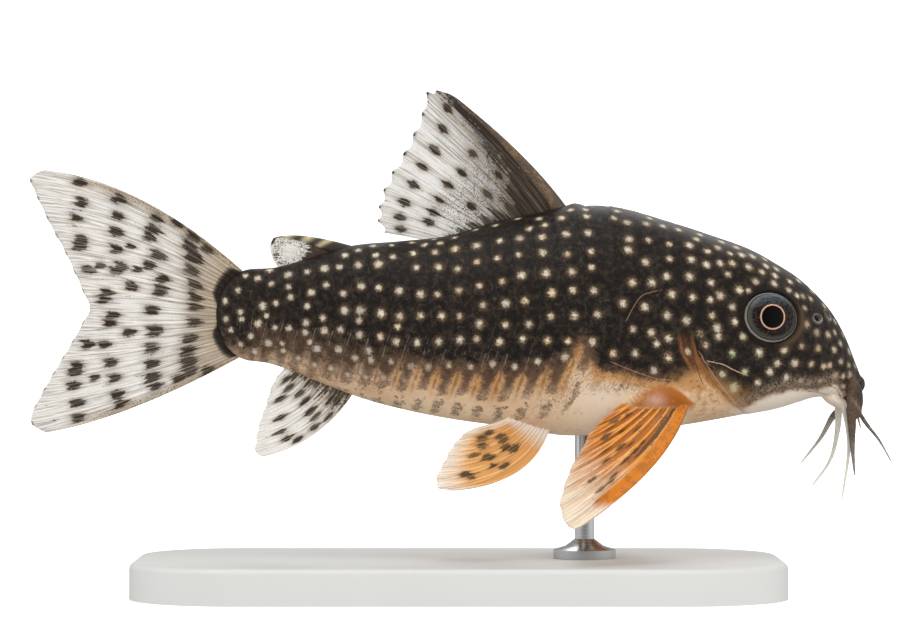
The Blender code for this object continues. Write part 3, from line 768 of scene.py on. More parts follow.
@dataclass
class Markings:
    """The pale spots: regular rows over the scutes, and single ones on the shoulder and the head."""

    body: BodyForm
    scutes: Scutes
    seed: int = 7
    rows: tuple[SpotRow, ...] = (
        SpotRow(Curve(((7.4, 31.4), (3.6, 30.85), (1.6, 30.35), (-1.0, 29.6), (-4.3, 29.25), (-8.3, 28.85))),
                0.33),
        SpotRow(Curve(((12.2, 31.3), (9.0, 31.3), (8.0, 31.0), (3.0, 30.2)))),
        SpotRow(Curve(((12.6, 30.1), (8.0, 29.85), (4.5, 29.5), (0.7, 28.7), (-2.4, 28.3), (-9.0, 28.3)))),
        SpotRow(Curve(((13.4, 28.5), (8.1, 28.4), (2.8, 27.7), (-1.9, 27.0), (-6.2, 27.5), (-10.1, 27.3),
                       (-13.2, 26.7), (-17.5, 26.2)))),
        SpotRow(Curve(((13.4, 27.2), (9.8, 27.0), (6.4, 26.6), (2.9, 25.8), (-0.3, 25.2), (-3.2, 25.0),
                       (-7.0, 25.6), (-10.3, 25.6), (-13.1, 25.6), (-14.5, 25.3)))),
        SpotRow(Curve(((12.6, 24.9), (10.1, 25.2), (6.3, 24.7), (2.7, 24.1), (-0.6, 23.2), (-3.5, 23.2),
                       (-6.6, 23.5), (-9.7, 23.6), (-13.6, 24.2), (-17.6, 24.1)))),
        SpotRow(Curve(((12.6, 23.2), (8.3, 23.1), (6.3, 22.8), (2.5, 22.6), (1.5, 22.5)))),
        SpotRow(Curve(((12.0, 21.2), (7.1, 21.1), (0.4, 21.1), (-4.5, 21.0), (-7.5, 21.6), (-10.4, 21.9),
                       (-13.8, 22.0), (-17.5, 22.7)))),
        SpotRow(Curve(((9.0, 19.9), (5.9, 19.3), (2.7, 19.0), (-1.4, 19.1), (-5.3, 19.2), (-8.6, 19.7),
                       (-11.7, 20.3), (-13.7, 20.9), (-16.8, 20.9)))),
        SpotRow(Curve(((-4.0, 17.9), (-8.0, 18.3), (-11.0, 18.8), (-14.0, 19.9), (-16.0, 20.0))), 0.36),
    )
    # Single spots on the shoulder shield, the gill cover, the cheek and the crown: (x, z).
    single: Points = (
        (13.9, 30.9), (15.5, 30.8), (16.9, 30.6), (14.0, 29.5), (15.6, 29.4), (17.3, 29.1), (13.9, 28.6),
        (15.3, 27.6), (17.3, 27.85), (19.1, 27.8), (20.35, 27.4), (17.0, 26.4), (18.9, 26.4), (14.2, 25.9),
        (15.8, 25.9), (17.4, 24.95), (19.1, 24.7), (13.4, 24.2), (15.2, 23.9), (17.0, 23.2), (18.6, 22.8),
        (14.2, 22.1), (15.7, 21.8), (17.1, 21.35), (16.15, 20.9), (12.6, 20.1), (14.4, 20.1), (17.1, 19.8),
        (18.7, 20.25), (15.9, 18.7), (18.7, 17.9),
        (19.6, 21.7), (20.1, 20.8), (21.2, 21.5), (22.35, 20.1), (23.4, 18.6), (21.5, 18.4),
        (24.5, 17.7), (25.5, 18.6), (23.3, 21.5), (24.6, 20.2), (26.1, 19.3),
        (26.7, 20.4), (28.2, 20.7), (29.6, 20.5), (27.6, 19.3), (29.0, 19.2), (26.9, 18.1), (28.1, 17.8),
        (28.9, 17.6), (29.8, 17.8), (31.0, 20.4), (31.6, 19.4), (30.6, 19.1), (30.1, 19.0), (31.1, 18.2),
        (31.8, 18.2), (32.4, 18.3), (31.8, 17.3), (32.3, 19.1), (28.6, 22.5), (29.5, 21.8), (30.5, 21.6),
        (31.1, 21.8), (31.6, 20.9), (20.65, 25.9), (20.6, 24.5), (21.4, 24.85), (23.0, 25.3), (23.8, 25.2),
        (20.7, 23.2), (22.4, 23.9), (22.6, 22.7), (21.1, 22.2), (22.1, 26.6), (20.4, 27.3), (21.5, 27.5),
        (22.5, 27.5), (23.9, 27.2), (25.0, 26.8), (24.4, 26.0), (26.0, 25.8), (27.2, 25.3), (26.1, 26.5),
        (27.4, 26.0), (27.9, 24.85), (28.4, 24.8), (29.1, 24.6), (28.5, 23.8), (20.5, 28.5), (21.4, 28.8),
        (22.4, 28.3), (23.4, 28.2), (24.3, 28.1), (19.0, 29.0), (20.0, 29.9), (18.2, 30.3), (21.8, 29.3),
        (23.0, 28.85), (25.4, 27.3), (26.3, 27.05), (29.3, 25.2), (30.3, 24.0), (31.2, 22.7), (31.9, 21.6),
        (32.4, 20.2), (32.9, 19.0),
    )
    single_size: float = 0.4
    # The large spot at the cheek's corner: (x, z), and its radius.
    cheek_spot: tuple[float, float, float] = (22.45, 17.3, 0.6)
    # Crowded spots on the tail stalk and at the root of the tail fin: (x, z).
    stalk: Points = (
        (-17.7, 26.5), (-18.3, 25.3), (-15.5, 25.8), (-12.2, 25.1), (-13.9, 24.7), (-11.2, 23.0),
        (-12.6, 22.6), (-15.2, 22.2), (-18.1, 23.5), (-18.0, 22.9), (-18.9, 22.0), (-17.2, 21.5),
        (-18.1, 20.8), (-12.3, 21.0), (-16.9, 20.2), (-19.4, 24.4), (-19.3, 22.9), (-14.5, 20.3),
        (-9.5, 25.0), (-5.0, 22.3), (-8.2, 22.8), (-15.9, 23.2), (-14.6, 20.9), (-7.4, 20.3), (-9.9, 20.4),
    )
    stalk_size: float = 0.38
    crowding: float = 0.75
    # Rows of spots over the back, by their distance from its middle, kept off the roots of the fins.
    crown_rows: tuple[float, ...] = (0.65, 1.8, 3.0)
    crown_pitch: float = 1.35
    crown_gap: float = 1.1
    crown_size: float = 0.38
    fin_roots: Points = ((-1.6, 10.6), (-15.0, -7.6))

    def flat_spots(self, chance: np.random.Generator) -> list[tuple[float, float, float]]:
        """The spots seen from the side, where rows give way to single spots.

        Args:
            chance: the source of the random shifts.

        Returns:
            The middle, as (x, z), and the radius of each.
        """
        edges = self.scutes.edges()
        middles = (edges[:-1] + edges[1:]) / 2
        flat = [(x, z, self.single_size) for x, z in self.single]
        flat += [(x, z, self.stalk_size) for x, z in self.stalk]
        flat.append(self.cheek_spot)
        for row in self.rows:
            high, low = row.level.points[0][0], row.level.points[-1][0]
            for station in middles:
                x, z = row.middle_of(station, self.body)
                x, z = x + chance.normal(0, 0.12), z + chance.normal(0, 0.12)
                clear = all(math.hypot(x - other[0], z - other[1]) > self.crowding for other in flat)
                if low <= x <= high and clear:
                    flat.append((x, z, row.size))
        return flat

    def crown(self, taken: list[Array], chance: np.random.Generator) -> list[Array]:
        """The spots on top of the head and the back, which keep clear of the others.

        Args:
            taken: the middles of the spots already there.
            chance: the source of the random shifts.

        Returns:
            Their middles.
        """
        found = []
        for count, across in enumerate(self.crown_rows):
            for x in np.arange(32.8 - 0.6 * count, -17.0, -self.crown_pitch):
                x, y = x + chance.normal(0, 0.12), across + chance.normal(0, 0.08)
                top, _, half, widest, power, _ = (float(part[0]) for part in self.body.section(np.array([x])))
                if y > 0.9 * half or (y < 0.9 and any(low < x < high for low, high in self.fin_roots)):
                    continue
                z = widest + (top - widest) * (1.0 - (y / half) ** power) ** (1.0 / power)
                pair = [np.array((x, side.value * y, z)) for side in Side]
                if all(np.linalg.norm(pair[1] - other) > self.crown_gap for other in taken + found):
                    found += pair
        return found

    def spots(self) -> list[tuple[Array, float, float, float]]:
        """Every spot, alike on both sides.

        Returns:
            The middle and the radius of each, and how golden and how faint it is.
        """
        chance = np.random.default_rng(self.seed)
        spots = []
        for x, z, size in self.flat_spots(chance):
            on_snout, on_stalk = x > 28, x < -7
            size *= chance.uniform(0.85, 1.15) * (0.9 if on_snout or x < -12 else 1.0)
            gold = chance.uniform(0.0, 0.8) ** 2 + (0.5 if on_snout else 0.0)
            faint = chance.uniform(0.0, 0.7) ** 2 + (0.35 if on_snout else 0.45 if on_stalk else 0.0)
            spots += [(self.body.beside(x, z, side)[0], size, gold, faint) for side in Side]
        crown = self.crown([spot[0] for spot in spots], chance)
        return spots + [(place, self.crown_size, 0.3, 0.1) for place in crown]

    def field(self, points: Array) -> dict[str, Array]:
        """How deep points lie in their nearest spots.

        Args:
            points: the skin's points.

        Returns:
            The depth, 1 at a spot's middle and 0 at its edge, and how golden and faint the spot is.
        """
        depth = np.full(len(points), -1.0)
        tint, faint = np.zeros(len(points)), np.zeros(len(points))
        for place, radius, gold, dim in self.spots():
            near = np.flatnonzero(np.abs(points[:, 0] - place[0]) < 2.5 * radius)
            inside = 1.0 - np.linalg.norm(points[near] - place, axis=1) / radius
            deeper = inside > depth[near]
            depth[near[deeper]] = inside[deeper]
            tint[near[deeper]] = gold
            faint[near[deeper]] = dim
        return {"spot": depth, "tint": tint, "faint": faint}


def rgba(code: str) -> tuple[float, float, float, float]:
    """A six-figure colour code as Blender's linear colour.

    Args:
        code: the code.

    Returns:
        Its red, green and blue, and 1 for opaque.
    """
    parts = [int(code[at:at + 2], 16) / 255 for at in (0, 2, 4)]
    linear = [part / 12.92 if part <= 0.04045 else ((part + 0.055) / 1.055) ** 2.4 for part in parts]
    return (*linear, 1.0)


class Value:
    """A number or a colour that a tree's nodes work out. Sums written on it add more nodes."""

    def __init__(self, tree: "Tree", socket: bpy.types.NodeSocket) -> None:
        """Wraps a node's output."""
        self.tree = tree
        self.socket = socket

    def __mul__(self, other: "Value | float") -> "Value":
        """The product of the two."""
        return self.tree.sum("MULTIPLY", self, other)

    def __add__(self, other: "Value | float") -> "Value":
        """The two added up."""
        return self.tree.sum("ADD", self, other)

    def __sub__(self, other: "Value | float") -> "Value":
        """This number less the other."""
        return self.tree.sum("SUBTRACT", self, other)

    def __rsub__(self, other: float) -> "Value":
        """What this share leaves of a plain number."""
        return self.tree.sum("SUBTRACT", other, self)

    def __or__(self, other: "Value | float") -> "Value":
        """The larger of the two."""
        return self.tree.sum("MAXIMUM", self, other)

    def scaled(self, factor: float, more: "Value | float") -> "Value":
        """This number times a factor, and another one more."""
        return self.tree.sum("MULTIPLY_ADD", self, factor, more)

    def shake(self, noise: "Value", strength: float) -> "Value":
        """This number, moved up and down by noise."""
        return self + noise.scaled(strength, -strength / 2)

    def step(self, low: float, high: float) -> "Value":
        """Eases from 0 to 1 as this number goes from low to high."""
        inputs = {"Value": self, "From Min": low, "From Max": high}
        return self.tree.add("ShaderNodeMapRange", inputs, interpolation_type="SMOOTHSTEP")

    def band(self, middle: float, half: float) -> "Value":
        """1 where this number is near the middle, fading to 0 at half the band's width from it."""
        return 1.0 - self.tree.sum("ABSOLUTE", self - middle).step(half * 0.4, half)

    def tint(self, share: "Value | float", colour: "Value | str") -> "Value":
        """This colour, with this share of another one laid over it."""
        return self.tree.mix(share, self, colour)


class Tree:
    """The nodes of one material or world, added one by one."""

    def __init__(self, name: str, world: bool = False) -> None:
        """Starts a material of this name, or a world."""
        self.owner = (bpy.data.worlds if world else bpy.data.materials).new(name)
        self.owner.use_nodes = True

    def put(self, value: object, socket: bpy.types.NodeSocket) -> None:
        """Links a socket to a value, or sets it to a plain one.

        Args:
            value: what goes in.
            socket: where it goes.
        """
        if isinstance(value, Value):
            self.owner.node_tree.links.new(value.socket, socket)
        else:
            socket.default_value = value

    def add(self, kind: str, inputs: dict[int | str, object], output: int | str = 0,
            **settings: object) -> Value:
        """Adds a node.

        Args:
            kind: its type.
            inputs: what goes into its sockets, by number or by name.
            output: which of its outputs to read.
            settings: its own settings.

        Returns:
            What that output gives.
        """
        node = self.owner.node_tree.nodes.new(kind)
        for name, value in settings.items():
            setattr(node, name, value)
        for name, value in inputs.items():
            self.put(value, node.inputs[name])
        return Value(self, node.outputs[output])

    def finish(self, shader: str = "Principled BSDF", **inputs: object) -> Material | bpy.types.World:
        """Sets the shader's own inputs, with underscores for spaces.

        Args:
            shader: the name of the shader's node.
            inputs: what goes into each of its sockets.

        Returns:
            The finished material or world.
        """
        for name, value in inputs.items():
            self.put(value, self.owner.node_tree.nodes[shader].inputs[name.replace("_", " ")])
        return self.owner

    def __getitem__(self, name: str) -> Value:
        """The number that the mesh keeps under this name."""
        return self.add("ShaderNodeAttribute", {}, "Fac", attribute_name=name)

    def place(self) -> Value:
        """The point on the piece, in millimetres."""
        here = self.add("ShaderNodeTexCoord", {}, "Object")
        return self.add("ShaderNodeVectorMath", {0: here, "Scale": 1 / MM}, operation="SCALE")

    def join(self, x: object, y: object, z: object = 0.0) -> Value:
        """A vector of three numbers."""
        return self.add("ShaderNodeCombineXYZ", {0: x, 1: y, 2: z})

    def parts(self, vector: Value) -> list[Value]:
        """The three numbers of a vector."""
        node = self.add("ShaderNodeSeparateXYZ", {0: vector}).socket.node
        return [Value(self, socket) for socket in node.outputs]

    def noise(self, where: Value, scale: float, detail: float = 3.0) -> Value:
        """Cloudy noise, about 0.5 on average."""
        inputs = {"Vector": where, "Scale": scale, "Detail": detail, "Roughness": 0.6}
        return self.add("ShaderNodeTexNoise", inputs, "Fac")

    def sum(self, operation: str, *inputs: object) -> Value:
        """One of Blender's sums on these numbers."""
        return self.add("ShaderNodeMath", dict(enumerate(inputs)), operation=operation)

    def mix(self, share: Value | float, first: Value | str, second: Value | str) -> Value:
        """The colour this share of the way from the first to the second."""
        first, second = (rgba(colour) if isinstance(colour, str) else colour for colour in (first, second))
        return self.add("ShaderNodeMix", {0: share, 6: first, 7: second}, 2, data_type="RGBA")

    def bump(self, height: Value, distance: float, strength: float) -> Value:
        """A normal from a height, with its full depth in millimetres."""
        return self.add("ShaderNodeBump", {"Height": height, "Distance": distance * MM, "Strength": strength})


class SkinTree(Tree):
    """The nodes of the skin, with the noises that break up its markings, from broad to fine."""

    def __init__(self, name: str) -> None:
        """Starts the material and its noises.

        Args:
            name: the material's name.
        """
        super().__init__(name)
        place = self.place()
        x, y, z = self.parts(place)
        self.cloud = self.noise(place, 0.45)
        self.mottle = self.noise(place, 2.0, 4.0)
        self.fine = self.noise(place, 5.0)
        self.grain = self.noise(place, 12.0, 2.0)
        self.hair = self.noise(place, 0.9, 1.0)
        self.lace = self.noise(self.join(z.scaled(-0.6, x), z * 0.35, y), 2.4, 2.0)


@dataclass(frozen=True)
class SkinFinish:
    """Near-black brown skin with cream spots over a pale belly, damp and satin."""

    dark: str = "16120f"
    brown: str = "342b24"
    fleck: str = "62584e"
    line: str = "958c80"
    pale_rim: str = "a39a8d"
    halo: str = "624f39"
    cream: str = "b9ac98"
    gold: str = "c19c62"
    bright: str = "e0d8c8"
    faint: str = "83766a"
    green: str = "9dbb90"
    glow: str = "bd8a52"
    beige: str = "cda580"
    milk: str = "e2c6a4"
    shell: str = "ebdccb"
    russet: str = "b39a84"
    umber: str = "6c523f"
    mottle: str = "93806c"
    # Dark streaks on the belly, and the painted shade in the creases.
    streak_and_shade: str = "4a392e"
    smudge: str = "846d5a"
    gill: str = "4f3320"
    gill_glow: str = "8d5a32"
    # Painted shadow in the groove behind the gill cover's edge.
    gill_shadow: str = "42260f"
    flesh: str = "a65f21"
    flesh_pale: str = "bf8d5a"
    pink: str = "d2a58e"
    lip: str = "54453a"
    barbel_dark: str = "453b33"
    barbel_pale: str = "e4dfd3"
    finger: float = 1.3
    line_half: float = 0.055
    roughness: float = 0.45
    specular: float = 0.15

    def ground(self, tree: SkinTree, number: Value) -> Value:
        """The dark skin with its flecks and hairlines.

        Args:
            tree: the material.
            number: the scute number, a little shaken.

        Returns:
            The colour.
        """
        colour = tree.mix(tree.mottle.step(0.42, 0.72), self.dark, self.brown)
        colour = colour.tint(tree.grain.step(0.6, 0.72) * 0.3, self.fleck)
        colour = colour.tint(tree.hair.band(0.5, 0.01) * tree.cloud.step(0.4, 0.6) * 0.12, self.line)
        edge = tree.sum("FRACT", number + 0.5).band(0.5, 0.04)
        minor = tree.sum("FRACT", number * 3.0).band(0.5, 0.06)
        return colour.tint((edge | minor * 0.5) * tree.mottle.step(0.4, 0.6) * tree["line"], self.line)

    def spotted(self, tree: SkinTree, ground: Value, depth: Value) -> Value:
        """The dark skin with its spots.

        Args:
            tree: the material.
            ground: the colour between the spots.
            depth: how deep each point lies in a spot.

        Returns:
            The colour.
        """
        core = tree.mix(tree["tint"], self.cream, self.gold)
        core = core.tint(depth.step(0.35, 0.85) * 0.85, self.bright)
        core = core.tint(tree["faint"], self.faint).tint(tree["sheen"] * 0.75, self.green)
        colour = ground.tint(depth.step(-0.7, 0.3) * 0.6, self.halo).tint(depth.step(0.0, 0.6), core)
        broken = tree.grain.step(0.56, 0.68) * (1.0 - depth.step(0.4, 1.0)) * 0.5
        return colour.tint(broken, self.brown)

    def belly(self, tree: SkinTree, wave: Value, pale: Value) -> Value:
        """The pale underside with its orange upper edge, smudges and fine dark lace.

        Args:
            tree: the material.
            wave: 0 at the scutes' edges and 1 at their middles.
            pale: how far each point lies below the dark flank, in millimetres.

        Returns:
            The colour.
        """
        fine, mottle, cloud = tree.fine, tree.mottle, tree.cloud
        seam, rear, cool = tree["seam"], tree["hind"], tree["cool"]
        middle = wave * seam
        level = pale.shake(mottle, 1.3).shake(cloud, 2.2)
        colour = tree.mix(level.step(0.8, 3.2), self.beige, self.milk)
        colour = colour.tint(cloud.step(0.4, 0.62) * 0.5, self.milk)
        colour = colour.tint(mottle.step(0.5, 0.7) * 0.4, self.pink)
        colour = colour.tint(cool * level.step(0.0, 1.6), self.shell)
        russet = rear * fine.shake(mottle, 1.0).step(0.3, 0.6) * (1.0 - level.step(0.5, 1.6) * 0.6) * 0.75
        colour = colour.tint(russet, self.russet)
        glow = (1.0 - seam.scaled(0.8, level).step(1.2, 2.6)) * (1.0 - middle * 0.6) * (1.0 - rear)
        colour = colour.tint(glow * (1.0 - cool) * mottle.step(0.2, 0.45) * 0.9, self.glow)
        rows = level.band(1.0, 0.85) * 1.2 + level.band(2.8, 0.8) * 0.9
        where = rows * rear.scaled(0.35, middle * (1.0 - rear * 0.4))
        blots = where.shake(mottle, 2.2).shake(fine, 1.2).step(0.25, 0.95)
        colour = colour.tint(blots * 0.65, self.smudge)
        specks = blots * fine.shake(tree.grain, 0.9).step(0.44, 0.62) * 0.9
        streaks = tree.lace.step(0.52, 0.64) * 0.6 | tree.lace.band(0.45, 0.03) * 0.8
        strokes = (1.0 - wave.step(0.01, 0.1)) * (1.0 - pale.step(0.6, 2.2)) * seam
        strokes = strokes * mottle.step(0.35, 0.55) * 0.8
        dusk = tree["dusk"] * fine.shake(mottle, 0.8).step(0.4, 0.66)
        return colour.tint((specks | strokes | streaks * tree["lace"] | dusk) * 0.7, self.streak_and_shade)

    def gill_strip(self, tree: SkinTree, colour: Value) -> Value:
        """The skin with the brown strip behind the gill cover."""
        warm = tree.mix(tree["gill_glow"].shake(tree.fine, 1.2).step(0.3, 0.9), self.gill, self.gill_glow)
        return colour.tint(tree["gill"] * tree.mottle.step(0.15, 0.45), warm)

    def throat(self, tree: SkinTree, colour: Value) -> Value:
        """Adds the streak along the gill cover, warm at its sides and dark with painted shadow in its middle,
        and the flesh over the pectoral fin.

        Args:
            tree: the material.
            colour: the skin's colour so far.

        Returns:
            The colour with both.
        """
        mottle, fine, blush, gill = tree.mottle, tree.fine, tree["blush"], tree["gill_streak_and_shadow"]
        # The streak's middle is painted shadow under the gill cover's edge; its sides are warm brown.
        streak_and_shade = tree.mix(gill.step(0.5, 1.0), self.gill_glow, self.gill_shadow)
        colour = colour.tint(gill.step(0.0, 0.5) * fine.step(0.25, 0.45), streak_and_shade)
        colour = colour.tint(blush * mottle.step(0.2, 0.6), self.flesh_pale)
        colour = colour.tint(blush * fine.shake(mottle, 0.8).step(0.55, 0.72) * 0.7, self.umber)
        flesh = tree.mix(tree["rear"] * mottle.step(0.3, 0.6), self.flesh, self.flesh_pale)
        colour = colour.tint(tree["flesh"] * mottle.step(0.1, 0.35), flesh)
        return colour.tint(tree["pink"] * mottle.step(0.2, 0.5), self.pink)

    def face(self, tree: SkinTree, colour: Value) -> Value:
        """Adds the thin lines, the painted shade in the creases, the rims of the eyes and the nostrils, the
        barbels and the lips.

        Args:
            tree: the material.
            colour: the skin's colour so far.

        Returns:
            The colour with all of them.
        """
        fine, grain = tree.fine, tree.grain
        # The creases take painted shade: a dark line along each fold.
        for name, tint in (("hairline", self.pink), ("crease_shade", self.streak_and_shade)):
            away = tree[name + "_side"].shake(fine, 0.12)
            colour = colour.tint(tree[name] * away.band(0.0, self.line_half) * fine.step(0.2, 0.4), tint)
        colour = colour.tint(tree["rim"] * 0.85, self.dark).tint(tree["rim_gold"] * 0.6, self.halo)
        colour = colour.tint(tree["nostril"] * fine.step(0.2, 0.5) * 0.85, self.pale_rim)
        tone = tree["feeler_tone"].shake(tree.mottle, 0.5).shake(grain, 0.7)
        colour = colour.tint(tree["feeler"], tree.mix(tone, self.barbel_dark, self.barbel_pale))
        wrinkled = tree.mix(fine.shake(grain, 0.8).step(0.35, 0.65), self.lip, self.smudge)
        return colour.tint(tree["lip"], tree.mix(0.35, self.lip, wrinkled))

    def material(self) -> Material:
        """The skin's material, from the dark flank down to the belly and forward to the face.

        Returns:
            The material.
        """
        tree = SkinTree("fish_skin")
        fine, grain, mottle = tree.fine, tree.grain, tree.mottle
        pale, hind, seam = tree["pale"], tree["hind"], tree["seam"]
        number = tree["scute"].shake(mottle, 0.22)
        wave = tree.sum("COSINE", number * (2 * math.pi)).scaled(-0.5, 0.5)
        depth = tree["spot"].shake(fine, 1.3).shake(grain, 0.9)
        colour = self.spotted(tree, self.gill_strip(tree, self.ground(tree, number)), depth)
        between = (1.0 - wave) * seam * (1.0 - hind * 0.75)
        level = pale.shake(tree.cloud, 1.6).shake(mottle, 2.0).shake(fine, 1.4)
        brown = seam.scaled(0.8, between.scaled(self.finger * 0.5, level)).step(-0.8, 0.9)
        colour = colour.tint(brown * hind.scaled(-0.25, 0.72), self.umber)
        ragged = between.scaled(self.finger, level).step(0.2, 1.4)
        colour = colour.tint(ragged, self.belly(tree, wave, pale))
        colour = colour.tint(depth.step(0.0, 0.7) * hind * 0.45, self.bright)
        colour = colour.tint(tree["cheek"] * fine.shake(grain, 1.0).step(0.3, 0.65), self.mottle)
        colour = self.face(tree, self.throat(tree, colour))
        height = fine * 0.5 + grain * 0.4 + depth.step(0.0, 0.5) * 0.2
        return tree.finish(Base_Color=colour, Roughness=mottle.scaled(0.25, self.roughness - 0.12),
                           Normal=tree.bump(height, 0.06, 0.8), Specular_IOR_Level=self.specular)


@dataclass
class Skin:
    """One skin over the head, the trunk, the tail stalk, the lips and the barbels."""

    body: BodyForm
    scutes: Scutes
    eye: EyeForm
    markings: Markings
    finish: SkinFinish = field(default_factory=SkinFinish)
    head_rings: int = 150
    trunk_rings: int = 262
    end_rings: int = 18
    around: int = 200
    gill_flare: float = 0.26
    gill_flare_run: float = 1.8
    lobe_radii: tuple[float, float, float] = (0.68, 0.62, 1.6)
    lobe_centre: tuple[float, float, float] = (32.85, 1.75, 16.2)
    upper_lip_radii: tuple[float, float, float] = (0.7, 1.9, 0.8)
    upper_lip_centre: tuple[float, float, float] = (33.15, 0.0, 17.5)
    lower_lip_radii: tuple[float, float, float] = (1.25, 1.55, 0.55)
    lower_lip_centre: tuple[float, float, float] = (31.3, 0.0, 16.2)
    lower_lip_tilt: float = 30.0
    mouth_radii: tuple[float, float, float] = (0.3, 1.15, 1.1)
    mouth_centre: tuple[float, float, float] = (32.5, 0.0, 16.3)
    # The nostrils: (x, z), and half their length and height.
    nostrils: Points = ((30.45, 23.2, 0.27, 0.42), (29.55, 22.95, 0.38, 0.31))
    nostril_rim: float = 0.06
    # Thin lines on the cheek, the shoulder and the cheek's rear edge: their strength, and (x, z) points.
    hairlines: tuple[tuple[float, Points], ...] = (
        (0.8, ((20.3, 19.5), (21.6, 19.2), (22.6, 18.7), (23.5, 18.35))),
        (0.3, ((13.7, 22.9), (14.5, 24.3), (15.1, 24.9), (16.1, 25.2))),
        (0.3, ((12.5, 19.4), (14.2, 18.7), (16.0, 18.1), (17.2, 17.95))),
        (0.4, ((19.7, 20.1), (20.1, 19.4), (21.0, 18.05), (21.9, 16.95), (22.5, 16.25))),
    )
    # Dark lines of painted shade along the folds at the mouth and on the gill cover: their strength, and (x,
    # z) points.
    creases: tuple[tuple[float, Points], ...] = (
        (0.7, ((30.7, 17.4), (31.3, 17.1), (31.7, 16.5))),
        (0.5, ((29.0, 16.95), (29.9, 16.8), (30.8, 16.55))),
        (0.6, ((31.6, 17.2), (31.9, 16.8), (32.1, 16.2))),
        (0.8, ((19.15, 21.2), (19.2, 19.9), (19.5, 18.7), (19.9, 17.7))),
    )
    line_reach: float = 0.6
    barbels: dict[str, Barbel] = field(default_factory=lambda: {
        "barbel_maxillary_right": Barbel(
            0.55, ((32.9, -1.75, 15.6), (33.8, -1.95, 14.2), (34.8, -2.15, 12.9), (35.75, -2.4, 11.2)),
            0.0, 0.5),
        "barbel_rictal_right": Barbel(
            1.25, ((32.6, -1.75, 15.6), (32.6, -1.85, 13.6), (32.65, -1.95, 11.9), (32.8, -2.1, 10.0)),
            0.0, 0.3),
        "barbel_mental_right": Barbel(
            0.7, ((31.9, -0.8, 16.2), (32.35, -0.85, 13.9), (32.4, -0.9, 11.6), (31.85, -0.9, 7.9)),
            0.8, 1.0),
        "barbel_maxillary_left": Barbel(
            0.45, ((32.9, 1.8, 15.6), (33.5, 3.1, 15.0), (33.8, 4.4, 14.4), (34.1, 5.6, 13.7)),
            0.0, 0.5),
        "barbel_rictal_left": Barbel(
            0.9, ((32.4, 1.8, 15.6), (31.4, 2.2, 14.7), (30.4, 2.5, 12.9), (28.8, 2.8, 10.8)),
            0.1, 0.9),
        "barbel_mental_left": Barbel(
            0.9, ((31.7, 0.8, 16.2), (31.7, 0.85, 13.9), (31.1, 1.0, 11.2), (29.6, 1.1, 9.0)),
            0.75, 1.0),
    })
    arch_x: float = 16.5
    arch_top: float = 17.55
    arch_bend: float = 0.2
    # The level at which the dark flank gives way to the pale belly: (x, z).
    pale_edge: Curve = Curve((
        (33.7, 15.0), (33.0, 16.2), (32.0, 17.1), (31.0, 17.9), (30.3, 17.65), (29.2, 17.5), (27.6, 17.55),
        (26.8, 17.35), (25.4, 17.0), (24.0, 16.3), (23.3, 15.95), (22.6, 16.3), (21.9, 17.0), (20.9, 18.1),
        (20.2, 18.8), (19.4, 18.8), (18.6, 18.45), (17.5, 18.3), (15.2, 18.4), (14.2, 18.8), (12.4, 19.1),
        (11.2, 19.3), (10.5, 20.1), (9.6, 20.0), (8.9, 19.0), (6.4, 18.0), (3.3, 17.95), (0.7, 18.05),
        (-3.9, 18.7), (-8.7, 19.6), (-12.4, 20.4), (-15.3, 20.9), (-17.0, 21.0), (-20.0, 21.2),
    ))

    def turns(self, share: Array) -> Array:
        """The turns of the skin's columns, spaced evenly round a section at the shoulder.

        Args:
            share: shares across the grid.

        Returns:
            The turn of each.
        """
        turn = np.linspace(0.0, 1.0, 2001)
        places, _ = self.body.surface(np.full_like(turn, 15.0), turn)
        run = np.concatenate(([0.0], np.cumsum(np.linalg.norm(np.diff(places, axis=0), axis=1))))
        even = np.interp(share * run[-1], run, turn)
        return blend(share, even, 0.8)

    def stations(self, share: Array) -> Array:
        """The stations of the skin's rings, close together where the snout and the tail round off.

        Args:
            share: shares along the grid.

        Returns:
            The station of each.
        """
        body = self.body
        run = body.snout_tip - body.head_cut
        head = np.arange(self.head_rings) / self.head_rings
        trunk = np.arange(self.trunk_rings) / self.trunk_rings
        end = np.sin(np.arange(self.end_rings + 1) / self.end_rings * math.pi / 2)
        values = np.concatenate((
            body.snout_tip - run * (0.3 * head + 0.7 * head**2),
            blend(body.head_cut, body.stalk_x, trunk),
            body.stalk_x - body.stalk_run * end,
        ))
        return values[np.rint(share * (len(values) - 1)).astype(int)]

    def relief(self, station: Array, turn: Array, places: Array) -> Array:
        """How far the skin stands over the plain body.

        Args:
            station: places along the body.
            turn: places round it.
            places: the points themselves.

        Returns:
            The height at each point.
        """
        x, _, z = places.T
        side = np.minimum(turn, 1.0 - turn)
        raised = self.scutes.relief(station, turn)
        ahead = station - self.body.head_cut
        flank = np.abs(np.sin(2 * math.pi * turn)) * smooth((24.0 - z) / 2.5)
        flare = self.gill_flare * smooth(1.0 - ahead / self.gill_flare_run) * flank
        raised = raised + np.where(ahead >= -0.01, flare, 0.0)
        groove = 0.1 * hump(ahead, -0.35, 0.3) * flank
        below_arch = self.below_arch(x, z)
        fin_base = 0.45 * smooth((below_arch + 0.3) / 0.7) * smooth((z - 14.9) / 1.0)
        fin_base = fin_base * smooth((side - 0.2) / 0.03) * smooth((19.6 - x) / 0.6)
        nape = 0.16 * hump(x, 9.7, 0.55) * smooth((0.06 - side) / 0.05)
        nape_groove = 0.1 * hump(x, 10.6, 0.22) * smooth((0.09 - side) / 0.05)
        shield = 0.07 * smooth((12.9 - x) / 0.2) * smooth((x - 12.4) / 0.3) * smooth((0.24 - side) / 0.03)
        return raised - groove + fin_base + nape - nape_groove + shield

    def below_arch(self, x: Array, z: Array) -> Array:
        """How far points lie inside the fleshy arch over the pectoral fin's root."""
        return self.arch_top - z - self.arch_bend * (x - self.arch_x) ** 2

